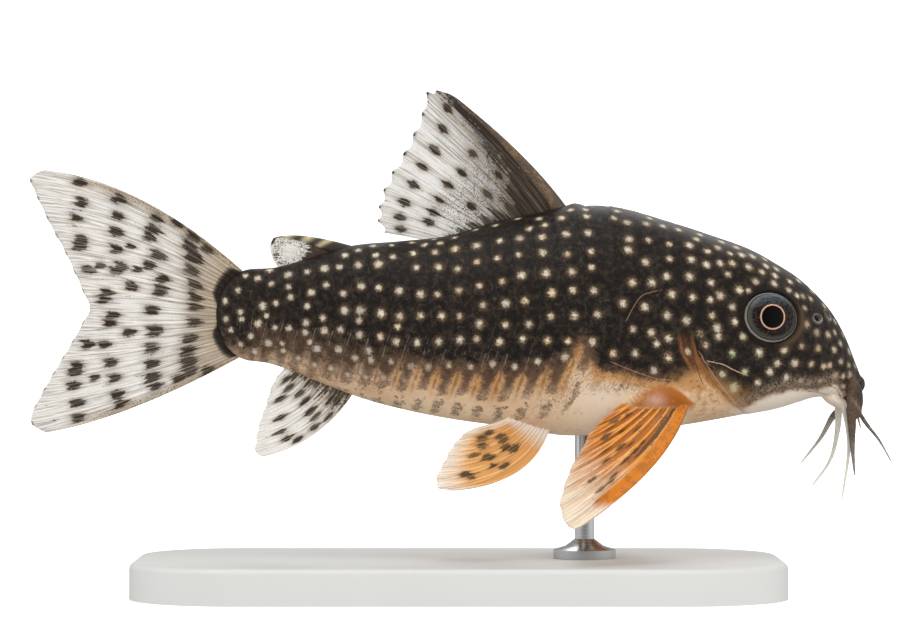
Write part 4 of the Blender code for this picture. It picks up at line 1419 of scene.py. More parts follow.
    def shell(self) -> Mesh:
        """The skin's own surface, with the scutes, the gill covers and the rims round the eyes.

        Returns:
            The mesh.
        """
        def warp(across: Array, along: Array) -> Array:
            """Bends the flat grid round the body.

            Args:
                across: shares round it.
                along: shares along it.

            Returns:
                The points.
            """
            station, turn = self.stations(along), self.turns(across)
            places, outward = self.body.surface(station, turn)
            places = places + outward * self.relief(station, turn, places)[:, None]
            for side in Side:
                radial, _ = self.eye.off_axis(places, self.body, side)
                facing = self.body.beside(self.eye.x, self.eye.z, side)[1]
                rim = self.eye.rim_height * hump(radial, self.eye.rim_radius, self.eye.rim_width)
                socket = self.eye.socket_depth * smooth((self.eye.opening - radial) / self.eye.opening_edge)
                here = places[:, 1] * side.value > 0
                places = places + np.where(here, rim - socket, 0.0)[:, None] * facing
            return places

        rings = self.head_rings + self.trunk_rings + self.end_rings
        mesh = grid_mesh("bare_skin", self.around, rings, warp)
        weld(mesh, 0.004)
        return mesh

    def lips(self) -> list[Mesh]:
        """The lips and the fleshy lobes at the corners of the mouth.

        Returns:
            Their meshes.
        """
        tilt = Matrix.Rotation(math.radians(self.lower_lip_tilt), 4, "Y")
        x, y, z = self.lobe_centre
        return [
            ball("upper_lip", self.upper_lip_radii, self.upper_lip_centre),
            ball("lower_lip", self.lower_lip_radii, self.lower_lip_centre, tilt),
            *(ball("lobe", self.lobe_radii, (x, side.value * y, z)) for side in Side),
        ]

    def openings(self) -> list[tuple[Array, Array, float, float]]:
        """Each nostril's place on the skin, the way it faces, and half its length and height."""
        return [(*self.body.beside(x, z, side), long, high)
                for side in Side for x, z, long, high in self.nostrils]

    def nostril_rims(self) -> list[Mesh]:
        """The raised rims of the four nostrils."""
        return [torus("rim", (long, high), self.nostril_rim, surface + facing * 0.08, facing)
                for surface, facing, long, high in self.openings()]

    def cuts(self) -> list[Mesh]:
        """What is cut out of the skin: the mouth and the nostrils."""
        return [ball("mouth", self.mouth_radii, self.mouth_centre)] + [
            ball("pit", (long, high, 0.5), surface, facing_turn(facing), 20, 12)
            for surface, facing, long, high in self.openings()]

    def united(self) -> Mesh:
        """The skin with its lips, rims and barbels grown into one surface.

        Returns:
            The mesh.
        """
        groups = {
            1: self.lips() + self.nostril_rims(),
            2: [barbel.mesh(name) for name, barbel in self.barbels.items()],
        }
        whole = object_of(self.shell())
        for _ in range(3):
            whole.data.materials.append(None)
        joined = bpy.data.collections.new("joined")
        cut = bpy.data.collections.new("cut")
        helpers = [(mesh, joined, index) for index, meshes in groups.items() for mesh in meshes]
        helpers += [(mesh, cut, 1) for mesh in self.cuts()]
        for mesh, group, index in helpers:
            for _ in range(3):
                mesh.materials.append(None)
            mesh.polygons.foreach_set("material_index", np.full(len(mesh.polygons), index, np.int32))
            group.objects.link(bpy.data.objects.new(mesh.name, mesh))
        for group, operation in ((joined, "UNION"), (cut, "DIFFERENCE")):
            bpy.context.scene.collection.children.link(group)
            modifier = whole.modifiers.new(operation.title(), "BOOLEAN")
            modifier.operation = operation
            modifier.operand_type = "COLLECTION"
            modifier.collection = group
            modifier.solver = "MANIFOLD"
        graph = bpy.context.evaluated_depsgraph_get()
        mesh = bpy.data.meshes.new_from_object(whole.evaluated_get(graph))
        for obj in [whole, *joined.objects, *cut.objects]:
            bpy.data.objects.remove(obj)
        for group in (joined, cut):
            bpy.data.collections.remove(group)
        mesh.name = "skin"
        return mesh

    def soften(self, mesh: Mesh) -> None:
        """Smooths the creases where the lips, rims and barbels meet the skin and each other.

        Args:
            mesh: the skin.
        """
        corners = read_numbers(mesh.loops, "vertex_index")
        sizes = read_numbers(mesh.polygons, "loop_total")
        owner = np.repeat(read_numbers(mesh.polygons, "material_index"), sizes)
        highest = np.zeros(len(mesh.vertices), np.int32)
        lowest = np.full(len(mesh.vertices), 9, np.int32)
        np.maximum.at(highest, corners, owner)
        np.minimum.at(lowest, corners, owner)
        weights = (highest != lowest).astype(float)
        here, beside = neighbours(mesh)
        for _ in range(4):
            spread = weights.copy()
            np.maximum.at(spread, here, weights[beside] * 0.7)
            weights = spread
        relax(mesh, np.where(weights > 0.2, weights, 0.0) * 0.5, 14)
        mesh.polygons.foreach_set("material_index", np.zeros(len(mesh.polygons), np.int32))

    def flank_marks(self, places: Array) -> dict[str, Array]:
        """Where the markings of the back, the flank and the belly lie.

        Args:
            places: the skin's points.

        Returns:
            A number for each point, by the name that the finish reads.
        """
        x, _, z = places.T
        station, turn = self.body.station_turn(places)
        side = np.minimum(turn, 1.0 - turn)
        steeper = 1.0 + 0.6 * smooth((x - 10.5) / 1.5) + 0.6 * smooth((x - 19.0) / 2.0)
        pale = (self.pale_edge.at(x) - z) * steeper
        hind = smooth((-1.0 - x) / 9.0)
        on_scutes = smooth((12.6 - station) / 0.4) * smooth((station + 20.0) / 1.0)
        lower = smooth((side - self.scutes.seam_turn) / 0.03)
        return {
            "pale": pale * (1.0 - 0.25 * hind),
            "hind": hind,
            "cool": smooth((x - 21.2) / 2.0) + 0.5 * hump(x, 11.5, 2.0) * smooth((pale - 2.2) / 1.0),
            "blush": patch(x, z, (19.4, 17.7), (1.7, 0.9))
            + 0.5 * smooth((x - 18.5) / 1.0) * smooth((25.0 - x) / 3.0) * smooth((18.0 - z) / 1.0),
            "cheek": 0.9 * hump(pale, -0.4, 1.1) * smooth((x - 22.3) / 0.8) * smooth((32.0 - x) / 1.0),
            "scute": self.scutes.number(station),
            "line": on_scutes * blend(0.05, 0.5, lower) * smooth((side - 0.03) / 0.04),
            "seam": smooth((12.6 - station) / 1.2) * smooth((station + 18.5) / 4.0),
            "lace": smooth((x - 4.0) / 4.0) * smooth((18.5 - x) / 2.5) * smooth((4.0 - pale) / 1.5) * 0.85,
            "dusk": 0.5 * patch(x, pale, (25.0, 0.6), (2.6, 0.9))
            + 1.3 * patch(x, z, (13.6, 17.4), (1.7, 0.5)) + 0.45 * hind * hump(pale, 0.8, 1.2),
            "sheen": patch(x, z, (22.6, 19.0), (1.5, 2.2)),
        }

    def gill_marks(self, places: Array) -> dict[str, Array]:
        """Where the markings behind the gill cover and round the pectoral fin's root lie.

        Args:
            places: the skin's points.

        Returns:
            A number for each point, by the name that the finish reads.
        """
        x, y, z = places.T
        station, turn = self.body.station_turn(places)
        behind = self.body.head_cut - station
        flank = smooth((np.minimum(turn, 1.0 - turn) - 0.2) / 0.04)
        outward = smooth((np.abs(y) - 4.0) / 0.5)
        return {
            "gill": flank * smooth(behind / 0.08) * smooth((1.6 - behind) / 0.4) * smooth((22.4 - z) / 2.0)
            * smooth((z - 16.9) / 1.2),
            "gill_glow": hump(behind, 0.15, 0.2) + 0.8 * hump(behind, 1.3, 0.25)
            + 0.5 * hump(behind, 0.75, 0.15),
            # A streak behind the gill cover's edge, partly painted shadow over the groove there.
            "gill_streak_and_shadow": flank * hump(behind, 0.35, 0.3) * smooth((20.3 - z) / 1.0)
            * smooth((z - 17.0) / 0.6) * blend(0.6, 1.0, hump(z, 17.9, 0.7)),
            "flesh": smooth((self.below_arch(x, z) + 0.1) / 0.3) * smooth((z - 15.2) / 0.8) * outward
            * smooth((19.45 - x) / 0.3),
            "rear": smooth((16.4 - x) / 1.8),
            "pink": patch(x, z, (16.1, 16.3), (0.75, 0.6)) * outward
            + 0.6 * patch(x, z, (6.2, 14.1), (1.3, 0.6)),
        }

    def eye_marks(self, places: Array) -> dict[str, Array]:
        """Where the dark rims of the eyes lie, and the golden part of them.

        Args:
            places: the skin's points.

        Returns:
            A number for each point, by the name that the finish reads.
        """
        x, y, z = places.T
        rim = np.full(len(places), 9.0)
        for side in Side:
            rim = np.where(y * side.value > 0, self.eye.off_axis(places, self.body, side)[0], rim)
        gold = hump(rim, self.eye.rim_radius + 0.15, 0.3) * smooth((x - self.eye.x) / 1.5)
        return {
            "rim": np.clip(hump(rim, self.eye.rim_radius + 0.12, 0.28) * 1.2, 0.0, 1.0),
            "rim_gold": gold * smooth((24.8 - z) / 2.0),
        }

    def lobe_share(self, places: Array) -> Array:
        """How far each point is on a lobe at the corner of the mouth.

        Args:
            places: the skin's points.

        Returns:
            1 on a lobe, fading to 0.
        """
        share = np.zeros(len(places))
        for side in Side:
            centre = np.array(self.lobe_centre) * (1, side.value, 1) - (0.1, 0.0, 0.7)
            reach = np.linalg.norm((places - centre) / np.array(self.lobe_radii) / (1.0, 1.0, 1.6), axis=1)
            share = np.maximum(share, smooth((1.3 - reach) / 0.4))
        return share

    def paint(self, mesh: Mesh) -> None:
        """Keeps on the mesh what the finish reads: where each marking lies.

        Args:
            mesh: the skin.
        """
        places = read_points(mesh)
        values = self.markings.field(places) | self.flank_marks(places) | self.gill_marks(places)
        values["nostril"] = self.nostril_depth(places)
        values |= self.eye_marks(places)
        values["feeler"], values["feeler_tone"] = self.feeler_depth(places)
        values["lip"] = self.lobe_share(places)
        for name, lines in (("hairline", self.hairlines), ("crease_shade", self.creases)):
            values[name], values[name + "_side"] = self.line_side(places, lines)
        for name, numbers in values.items():
            write_values(mesh, name, numbers)

    def nostril_depth(self, places: Array) -> Array:
        """How near each point lies to the crest of a nostril's rim, which is paler below.

        Args:
            places: the skin's points.

        Returns:
            1 at the crest, fading to 0.
        """
        depth = np.zeros(len(places))
        for surface, facing, long, high in self.openings():
            ahead, up, out = np.array(facing_turn(facing).to_3x3()).T
            offset = places - surface
            along, over = offset @ ahead, offset @ up
            reach = np.hypot(along / (long + self.nostril_rim), over / (high + self.nostril_rim))
            near = np.abs(offset @ out) < 0.8
            below = blend(0.45, 1.0, smooth(0.5 - over / high * 0.8))
            depth = np.maximum(depth, hump(reach, 1.0, 0.22) * near * below)
        return depth

    def line_side(self, places: Array, lines: tuple[tuple[float, Points], ...]) -> tuple[Array, Array]:
        """Measures points from thin lines drawn on both sides of the fish.

        Args:
            places: the skin's points.
            lines: the strength of each line, and its (x, z) points.

        Returns:
            How strong the nearest line is at each point, and how far to its side the point lies.
        """
        strength = np.zeros(len(places))
        aside = np.full(len(places), 9.0)
        flat = places[:, [0, 2]]
        for strongest, points in lines:
            shares = np.linspace(0.0, 1.0, 80)
            line = Line(points, rounded=True)
            spots = line.at(shares)
            ways = unit(line.at(np.minimum(shares + 0.01, 1.0)) - line.at(np.maximum(shares - 0.01, 0.0)))
            low, high = spots.min(axis=0) - self.line_reach, spots.max(axis=0) + self.line_reach
            near = np.flatnonzero(np.all((flat > low) & (flat < high), axis=1))
            gaps = flat[near][:, None, :] - spots[None, :, :]
            nearest = np.argmin(np.linalg.norm(gaps, axis=2), axis=1)
            gap, way = gaps[np.arange(len(near)), nearest], ways[nearest]
            beyond = np.abs(np.sum(gap * way, axis=1))
            to_side = gap[:, 0] * way[:, 1] - gap[:, 1] * way[:, 0]
            on_it = strongest * smooth(1.0 - beyond / 0.3) * smooth((self.line_reach - np.abs(to_side)) / 0.1)
            closer = np.abs(to_side) + beyond < np.abs(aside[near])
            strength[near[closer]] = on_it[closer]
            aside[near[closer]] = to_side[closer]
        return strength, aside

    def feeler_depth(self, places: Array) -> tuple[Array, Array]:
        """Finds the barbels among the skin's points.

        Args:
            places: the skin's points.

        Returns:
            How far each point is on a barbel, and how pale the barbel is there.
        """
        depth = np.zeros(len(places))
        tone = np.zeros(len(places))
        for barbel in self.barbels.values():
            distance, share = barbel.near(places)
            radius = barbel.radius(share)
            on_it = smooth((radius + 0.15 - distance) / 0.1) * smooth((share - 0.08) / 0.1)
            tone = np.where(on_it > depth, blend(barbel.root_tone, barbel.tip_tone, share**1.5), tone)
            depth = np.maximum(depth, on_it)
        return depth, tone

    def build(self) -> bpy.types.Object:
        """Makes the skin.

        Returns:
            The piece.
        """
        mesh = self.united()
        self.soften(mesh)
        self.paint(mesh)
        material = self.finish.material()
        return show_piece(mesh, material, Slot.SKIN, "head", "trunk", "tail_stalk", *self.barbels)


@dataclass(frozen=True)
class EyeFinish:
    """A glassy eye: black pupil, thin copper ring, dark iris and a grey edge, with a painted blue-grey
    reflection above.
    """

    pupil: str = "020202"
    copper: str = "cf9f86"
    iris: str = "130e0c"
    iris_pale: str = "372d29"
    # The painted reflection of the light above, laid over the eye's upper part.
    painted_reflection: str = "647078"
    edge: str = "57554f"
    outer: str = "14100e"
    rim: str = "b3aca0"

    def material(self) -> Material:
        """The eyeball's material.

        Returns:
            The material.
        """
        tree = Tree("eye_glass")
        place = tree.place()
        fine, upper = tree.noise(place, 5.0, 4.0), tree["upper"]
        pupil = tree["pupil"].shake(tree.noise(place, 3.0), 0.05)
        radius = tree["radius"].shake(fine, 0.06)
        iris = tree.mix(fine.step(0.42, 0.66), self.iris, self.iris_pale)
        # Painted reflection: the upper iris turns blue-grey.
        iris = iris.tint(upper * fine.step(0.3, 0.6) * 0.5, self.painted_reflection)
        colour = tree.mix(pupil.step(0.91, 0.95), self.pupil, self.copper).tint(pupil.step(1.02, 1.07), iris)
        # The grey edge turns to the painted reflection above.
        colour = colour.tint(radius.step(1.6, 1.98) * 0.7, tree.mix(upper, self.edge, self.painted_reflection))
        colour = colour.tint(radius.step(2.0, 2.04), self.outer)
        colour = colour.tint(radius.band(2.13, 0.08) * 0.85, self.rim)
        return tree.finish(Base_Color=colour, Roughness=0.35, Specular_IOR_Level=0.0, Coat_Weight=0.25,
                           Coat_Roughness=0.1)


@dataclass
class Eye:
    """One eye, a flattened ball in its socket."""

    form: EyeForm
    body: BodyForm
    side: Side
    material: Material

    def build(self) -> bpy.types.Object:
        """Makes the eye.

        Returns:
            The piece.
        """
        form = self.form
        surface, facing = self.body.beside(form.x, form.z, self.side)
        radii = (form.radius * form.long, form.radius * form.high, form.depth)
        name = f"eye_{self.side.name.lower()}"
        mesh = ball(f"{name}_ball", radii, surface - facing * form.sunk, facing_turn(facing), 72, 48)
        places = read_points(mesh)
        x, _, z = places.T
        write_values(mesh, "radius", form.off_axis(places, self.body, self.side)[0])
        write_values(mesh, "pupil", np.hypot(x - form.x, z - form.z))
        # How high on the eye each point lies, for the painted reflection above.
        write_values(mesh, "upper", smooth((z - form.z - 0.6) / 1.2))
        return show_piece(mesh, self.material, Slot.EYE, name)


@dataclass(frozen=True)
class FanForm:
    """A fin: rays that spread from a root line to a tip line, with webs between them.

    Root and tips are seen from the side. The bows say how far the first and the last ray bend from
    their chords, and bow_at how far along they bend most. A spine fills the space up to its second ray,
    or tapers to a part of it. The brow is how far the margin of the first web bulges out.
    """

    root: Line
    tips: Line
    rays: int
    first_bow: float
    last_bow: float
    bow_at: float = 0.5
    spine_share: float = 0.0
    spine_taper: float = 0.0
    brow: tuple[float, float] = (0.0, 0.0)
    lateral: Callable[[Array, Array], Array] = lambda x, z: np.zeros_like(x)

    def tip(self, place: Array) -> Array:
        """The fin's margin.

        Args:
            place: places across the fin.

        Returns:
            The point on the margin at each.
        """
        number = self.number(place)
        margin = self.tips.at(number / (self.rays - 1) if self.tips.by_point else place)
        return margin + np.outer(np.sin(math.pi * np.clip(number, 0.0, 1.0)), self.brow)

    def spine_edge(self, share: Array) -> Array:
        """The place at which the spine gives way to the first web."""
        return self.spine_share * (1.0 - self.spine_taper * share)

    def flat(self, place: Array, share: Array) -> Array:
        """The fin's points, seen from the side.

        Args:
            place: places across the fin.
            share: shares along its rays.

        Returns:
            The (x, z) points.
        """
        root, tip = self.root.at(place), self.tip(place)
        chord = tip - root
        beside = unit(np.stack((-chord[:, 1], chord[:, 0]), axis=1))
        bow = blend(self.first_bow, self.last_bow, place)[:, None]
        bend = root + chord * self.bow_at + beside * bow * 2
        along = share[:, None]
        return root * (1 - along) ** 2 + bend * 2 * along * (1 - along) + tip * along**2

    def number(self, place: Array) -> Array:
        """How many rays lie before each place, with its share of the web it lies in.

        Args:
            place: places across the fin.

        Returns:
            The number at each place.
        """
        gaps = self.rays - 1
        if not self.spine_share:
            return place * gaps
        webs = 1 + (place - self.spine_share) / (1 - self.spine_share) * (gaps - 1)
        return np.where(place < self.spine_share, place / self.spine_share, webs)


@dataclass(frozen=True)
class Blotches:
    """Dark marks on a fin: middles (x, z) with a relative size, half their length and width, and split."""

    middles: Points = ()
    length: float = 0.75
    width: float = 0.42
    split: float = 0.0

    def field(self, flat: Array, way: Array) -> Array:
        """How deep points lie in their nearest marks.

        Args:
            flat: the fin's points, seen from the side.
            way: the way that the rays run there.

        Returns:
            The depth at each point, 1 at a mark's middle and 0 at its edge.
        """
        depth = np.full(len(flat), -1.0)
        for x, z, *size in self.middles:
            offset = (flat - np.array((x, z))) / (size[0] if size else 1.0)
            near = np.argmin(np.linalg.norm(offset, axis=1))
            along = offset @ way[near]
            beside = np.array((-way[near][1], way[near][0]))
            across = np.abs(offset @ beside) - self.split * np.maximum(along, 0)
            reach = np.abs(along / self.length) ** 1.4 + np.abs(across / self.width) ** 1.4
            depth = np.maximum(depth, 1.0 - reach ** (1 / 1.4))
        return depth


@dataclass(frozen=True)
class FinFinish:
    """A translucent fin: the colours of its rays and webs near the base and near the tips."""

    name: str
    web_base: str
    web_tip: str
    ray_base: str
    ray_tip: str
    line: str = "6b6055"
    blotch: str = "30261c"
    halo: str = "8a7457"
    spine: str = "6f5a44"
    spine_fleck: str = "372e27"
    web_alpha: float = 0.85
    roughness: float = 0.5
    root: str = "c4752e"
    fray: float = 1.8
    threads: float = 0.3
    flecks: float = 0.85

    def material(self) -> Material:
        """The fin's material.

        Returns:
            The material.
        """
        tree = Tree(self.name)
        place = tree.place()
        rays, reach, ray, spine = (tree[name] for name in ("rays", "reach", "ray", "spine"))
        strands = tree.noise(tree.join(rays * 5.0, reach * 0.45), 1.0)
        threads = tree.noise(tree.join(rays * 13.0, reach * 0.14), 1.0, 2.0)
        fine, grain = tree.noise(place, 5.0), tree.noise(place, 11.0, 2.0)
        on_ray = ray.step(0.1, 0.7)
        tone = tree["tone"].shake(strands, 1.2).shake(fine, 0.6)
        bone = tree.mix(tone, self.ray_base, self.ray_tip)
        colour = tree.mix(tone, self.web_base, self.web_tip).tint(on_ray, bone)
        thin = threads.step(0.55, 0.62) | ray.band(0.05, 0.35) * 0.6
        colour = colour.tint(thin * tree["line"], self.line)
        depth = tree["blotch"].shake(strands, self.fray).shake(fine, self.fray * 0.4)
        colour = colour.tint(depth.step(-0.7, 0.2) * 0.35, self.halo)
        dusk = tree["shade"].shake(strands, 2.2).shake(fine, 1.2).step(0.35, 0.65)
        dark = depth.step(0.0, 0.45) | tree["tips"] | (dusk | tree["speck"] * grain.step(0.53, 0.6))
        pale_thread = (1.0 - threads).step(0.52, 0.6) * self.threads
        colour = colour.tint(dark * (1.0 - pale_thread), self.blotch)
        root = tree["root"] * tree["root"].shake(strands, 1.0).step(0.2, 0.6)
        colour = colour.tint(root, tree.mix(fine.step(0.4, 0.7), self.root, self.blotch))
        flecks = grain.shake(fine, 1.2).shake(tree.noise(place, 1.2, 2.0), 1.4).step(0.4, 0.68)
        colour = colour.tint(spine, tree.mix(flecks * self.flecks, self.spine, self.spine_fleck))
        colour = colour.tint(tree["front"], self.blotch)
        solid = on_ray * 0.6 | dark | (spine | root)
        joints = tree.sum("SINE", reach * 16.0) * on_ray
        height = threads + strands * 0.5 + joints * 0.08
        return tree.finish(Base_Color=colour, Roughness=self.roughness, Specular_IOR_Level=0.3,
                           Alpha=solid.scaled(1.0 - self.web_alpha, self.web_alpha),
                           Normal=tree.bump(height, 0.05, 0.7))


def no_marks(place: Array, share: Array) -> dict[str, Array]:
    """Nothing drawn on a fin but its rays."""
    return {}


@dataclass
class Fin:
    """One fin, finer than its solid: ridged rays that fork towards a scalloped margin."""

    name: str
    form: FanForm
    nodes: tuple[str, ...]
    slot: Slot
    material: Material
    blotches: Blotches = Blotches()
    looks: Callable[[Array, Array], dict[str, Array]] = no_marks
    side: int = 1
    swing: float = 0.0
    steps: int = 16
    rows: int = 90
    web_half: float = 0.07
    ray_half: float = 0.24
    ray_tip_half: float = 0.09
    spine_half: float = 0.5
    spine_ends: float = 1.0
    notch: float = 0.2
    fringe: float = 0.05
    pleat: float = 0.0
    ray_width: float = 1.0
    forks_at: float = 0.35
    fork: float = 0.25
    second_fork: float = 0.125

    def ridge(self, place: Array, share: Array) -> Array:
        """How near points lie to a ray's middle.

        Args:
            place: places across the fin.
            share: shares along its rays.

        Returns:
            1 on a ray, falling to 0 and below in the web.
        """
        number = self.form.number(place)
        off = np.abs(number - np.rint(number))
        off = np.abs(off - self.fork * smooth((share - self.forks_at) / (1.05 - self.forks_at)))
        off = np.abs(off - self.second_fork * smooth((share - 0.68) / 0.35))
        return 1.0 - off / (blend(0.3, 0.07, share**0.6) * self.ray_width)

    def length(self, place: Array) -> Array:
        """How long the fin is at each place across it."""
        return np.linalg.norm(self.form.tip(place) - self.form.root.at(place), axis=1)

    def points(self, place: Array, share: Array) -> tuple[Array, Array]:
        """The fin's middle surface.

        Args:
            place: places across the fin.
            share: shares along its rays.

        Returns:
            The points in space, and the same seen from the side.
        """
        ridge = np.clip(self.ridge(place, share), 0.0, 1.0)
        number = self.form.number(place)
        bare = (number < 1) & (self.form.spine_share > 0)
        between = np.where(bare, 0.0, 0.5 - 0.5 * np.cos(2 * math.pi * number))
        short = self.notch * between**0.7 + self.fringe * (1.0 - ridge)
        flat = self.form.flat(place, share * (1.0 - short / self.length(place)))
        hinge = self.form.root.at(np.array([0.5]))
        turn = np.array(((math.cos(self.swing), -math.sin(self.swing)),
                         (math.sin(self.swing), math.cos(self.swing))))
        flat = hinge + (flat - hinge) @ turn.T
        x, z = flat.T
        fold = self.pleat * np.cos(2 * math.pi * number) * share
        y = self.side * (self.form.lateral(x, z) + fold)
        return np.stack((x, y, z), axis=1), flat

    def half(self, place: Array, share: Array) -> Array:
        """Half the fin's thickness.

        Args:
            place: places across the fin.
            share: shares along its rays.

        Returns:
            Half the thickness at each point.
        """
        ridge = smooth(self.ridge(place, share))
        thick = blend(self.web_half, blend(self.ray_half, self.ray_tip_half, share), ridge)
        if self.form.spine_share:
            inside = np.clip(place / self.form.spine_edge(share), 0.0, 1.0)
            bulge = np.sqrt(np.clip(1.0 - (2 * inside - 1.0) ** 2, 0.0, 1.0))
            along = np.clip(share / self.spine_ends, 0.0, 1.0)
            spine = blend(self.spine_half, self.ray_tip_half, along) * bulge
            thick = np.where((inside < 1.0) & (share < self.spine_ends), np.maximum(spine, 0.05), thick)
        at_edge = np.minimum(np.minimum(place, 1.0 - place) * 60, (1.0 - share) * 40)
        return thick * np.sqrt(np.clip(at_edge, 0.12, 1.0))

    def paint(self, mesh: Mesh, place: Array, share: Array, flat: Array, way: Array) -> None:
        """Keeps on the mesh what the finish reads: rays, tones and marks.

        Args:
            mesh: the fin.
            place: places across the fin.
            share: shares along its rays.
            flat: its points, seen from the side.
            way: the way that the rays run there.
        """
        spine = np.zeros(len(place))
        if self.form.spine_share:
            edge = self.form.spine_edge(share)
            spine = smooth((edge * 0.97 - place) / (edge * 0.1))
            spine = spine * smooth((self.spine_ends - share) / 0.08 + 0.5)
        none = np.zeros(len(place))
        values = {name: none for name in ("shade", "speck", "front", "tips", "root")}
        values |= {"tone": share, "line": none + 0.6}
        values |= {
            "rays": self.form.number(place),
            "reach": share * self.length(place),
            "ray": self.ridge(place, share),
            "blotch": self.blotches.field(flat, way),
            "spine": spine,
        }
        values |= self.looks(place, share)
        for name, numbers in values.items():
            write_values(mesh, name, np.asarray(numbers, float))

    def build(self) -> bpy.types.Object:
        """Makes the fin.

        Returns:
            The piece.
        """
        columns = (self.form.rays - 1) * self.steps
        mesh = grid_mesh(self.name, columns, self.rows,
                         lambda across, along: np.stack((across, along, 0 * along), 1))
        place, share = read_points(mesh)[:, :2].T
        middle, flat = self.points(place, share)
        step = 0.004
        across = self.points(np.minimum(place + step, 1), share)[0]
        across = across - self.points(np.maximum(place - step, 0), share)[0]
        ahead, ahead_flat = self.points(place, np.minimum(share + step, 1))
        behind, behind_flat = self.points(place, np.maximum(share - step, 0))
        normal = unit(np.cross(across, ahead - behind))
        write_points(mesh, middle)
        self.paint(mesh, place, share, flat, unit(ahead_flat - behind_flat))
        offset = mesh.attributes.new("offset", "FLOAT_VECTOR", "POINT")
        thick = normal * self.half(place, share)[:, None]
        offset.data.foreach_set("vector", thick.astype(np.float32).ravel())
        sheet = bmesh.new()
        sheet.from_mesh(mesh)
        layer = sheet.verts.layers.float_vector["offset"]
        grown = bmesh.ops.extrude_face_region(sheet, geom=sheet.faces)
        raised = {item for item in grown["geom"] if isinstance(item, bmesh.types.BMVert)}
        for vert in sheet.verts:
            vert.co += vert[layer] if vert in raised else -vert[layer]
        bmesh.ops.recalc_face_normals(sheet, faces=sheet.faces)
        sheet.to_mesh(mesh)
        sheet.free()
        mesh.attributes.remove(mesh.attributes["offset"])
        return show_piece(mesh, self.material, self.slot, *self.nodes)


@dataclass(frozen=True)
class TailForm:
    """The tail fin: an upper and a lower fan that share their middle ray."""

    upper: FanForm
    lower: FanForm
    rays: int = 17
    spine_share: float = 0.0
    lateral: Callable[[Array, Array], Array] = lambda x, z: 0.0022 * (-17.0 - x) ** 2

    def flat(self, place: Array, share: Array) -> Array:
        """The tail's points, seen from the side.

        Args:
            place: places across the fin.
            share: shares along its rays.

        Returns:
            The (x, z) points.
        """
        above = self.upper.flat(np.clip(place * 2, 0, 1), share)
        below = self.lower.flat(np.clip(place * 2 - 1, 0, 1), share)
        return np.where((place < 0.5)[:, None], above, below)

    def number(self, place: Array) -> Array:
        """How many rays lie before a place."""
        return place * (self.rays - 1)

    @property
    def root(self) -> Line:
        """The root line, round the end of the tail stalk."""
        return Line(self.upper.root.points + self.lower.root.points[1:])

    def tip(self, place: Array) -> Array:
        """The point on the fin's margin at each place across it."""
        return self.flat(place, np.ones_like(place))


def stalk_arc(body: BodyForm, first: float, last: float, inset: float = 0.9) -> Line:
    """Part of the stalk's rounded end, a little inside it.

    Args:
        body: the fish's body.
        first: where it starts, from 0 at the stalk's top to 1.
        last: where it ends.
        inset: how far inside it lies.

    Returns:
        The line.
    """
    angles = math.pi * np.linspace(first, last, 9)
    x = body.stalk_x - (body.stalk_run + 0.4 - inset) * np.sin(angles)
    z = body.stalk_z + (body.stalk_rise - inset) * np.cos(angles)
    return Line(tuple(zip(x, z)))


def pectoral_spread(x: Array, z: Array) -> Array:
    """How far the pectoral fin stands out from the mid plane."""
    drop = np.maximum(16.6 - z, 0.0)
    return 5.6 + 0.72 * drop - 0.018 * drop * drop + 0.05 * (18.8 - x)


def pelvic_spread(x: Array, z: Array) -> Array:
    """The same for the pelvic fin."""
    return 2.9 + 0.35 * np.maximum(14.0 - z, 0.0) + 0.22 * np.maximum(7.4 - x, 0.0)


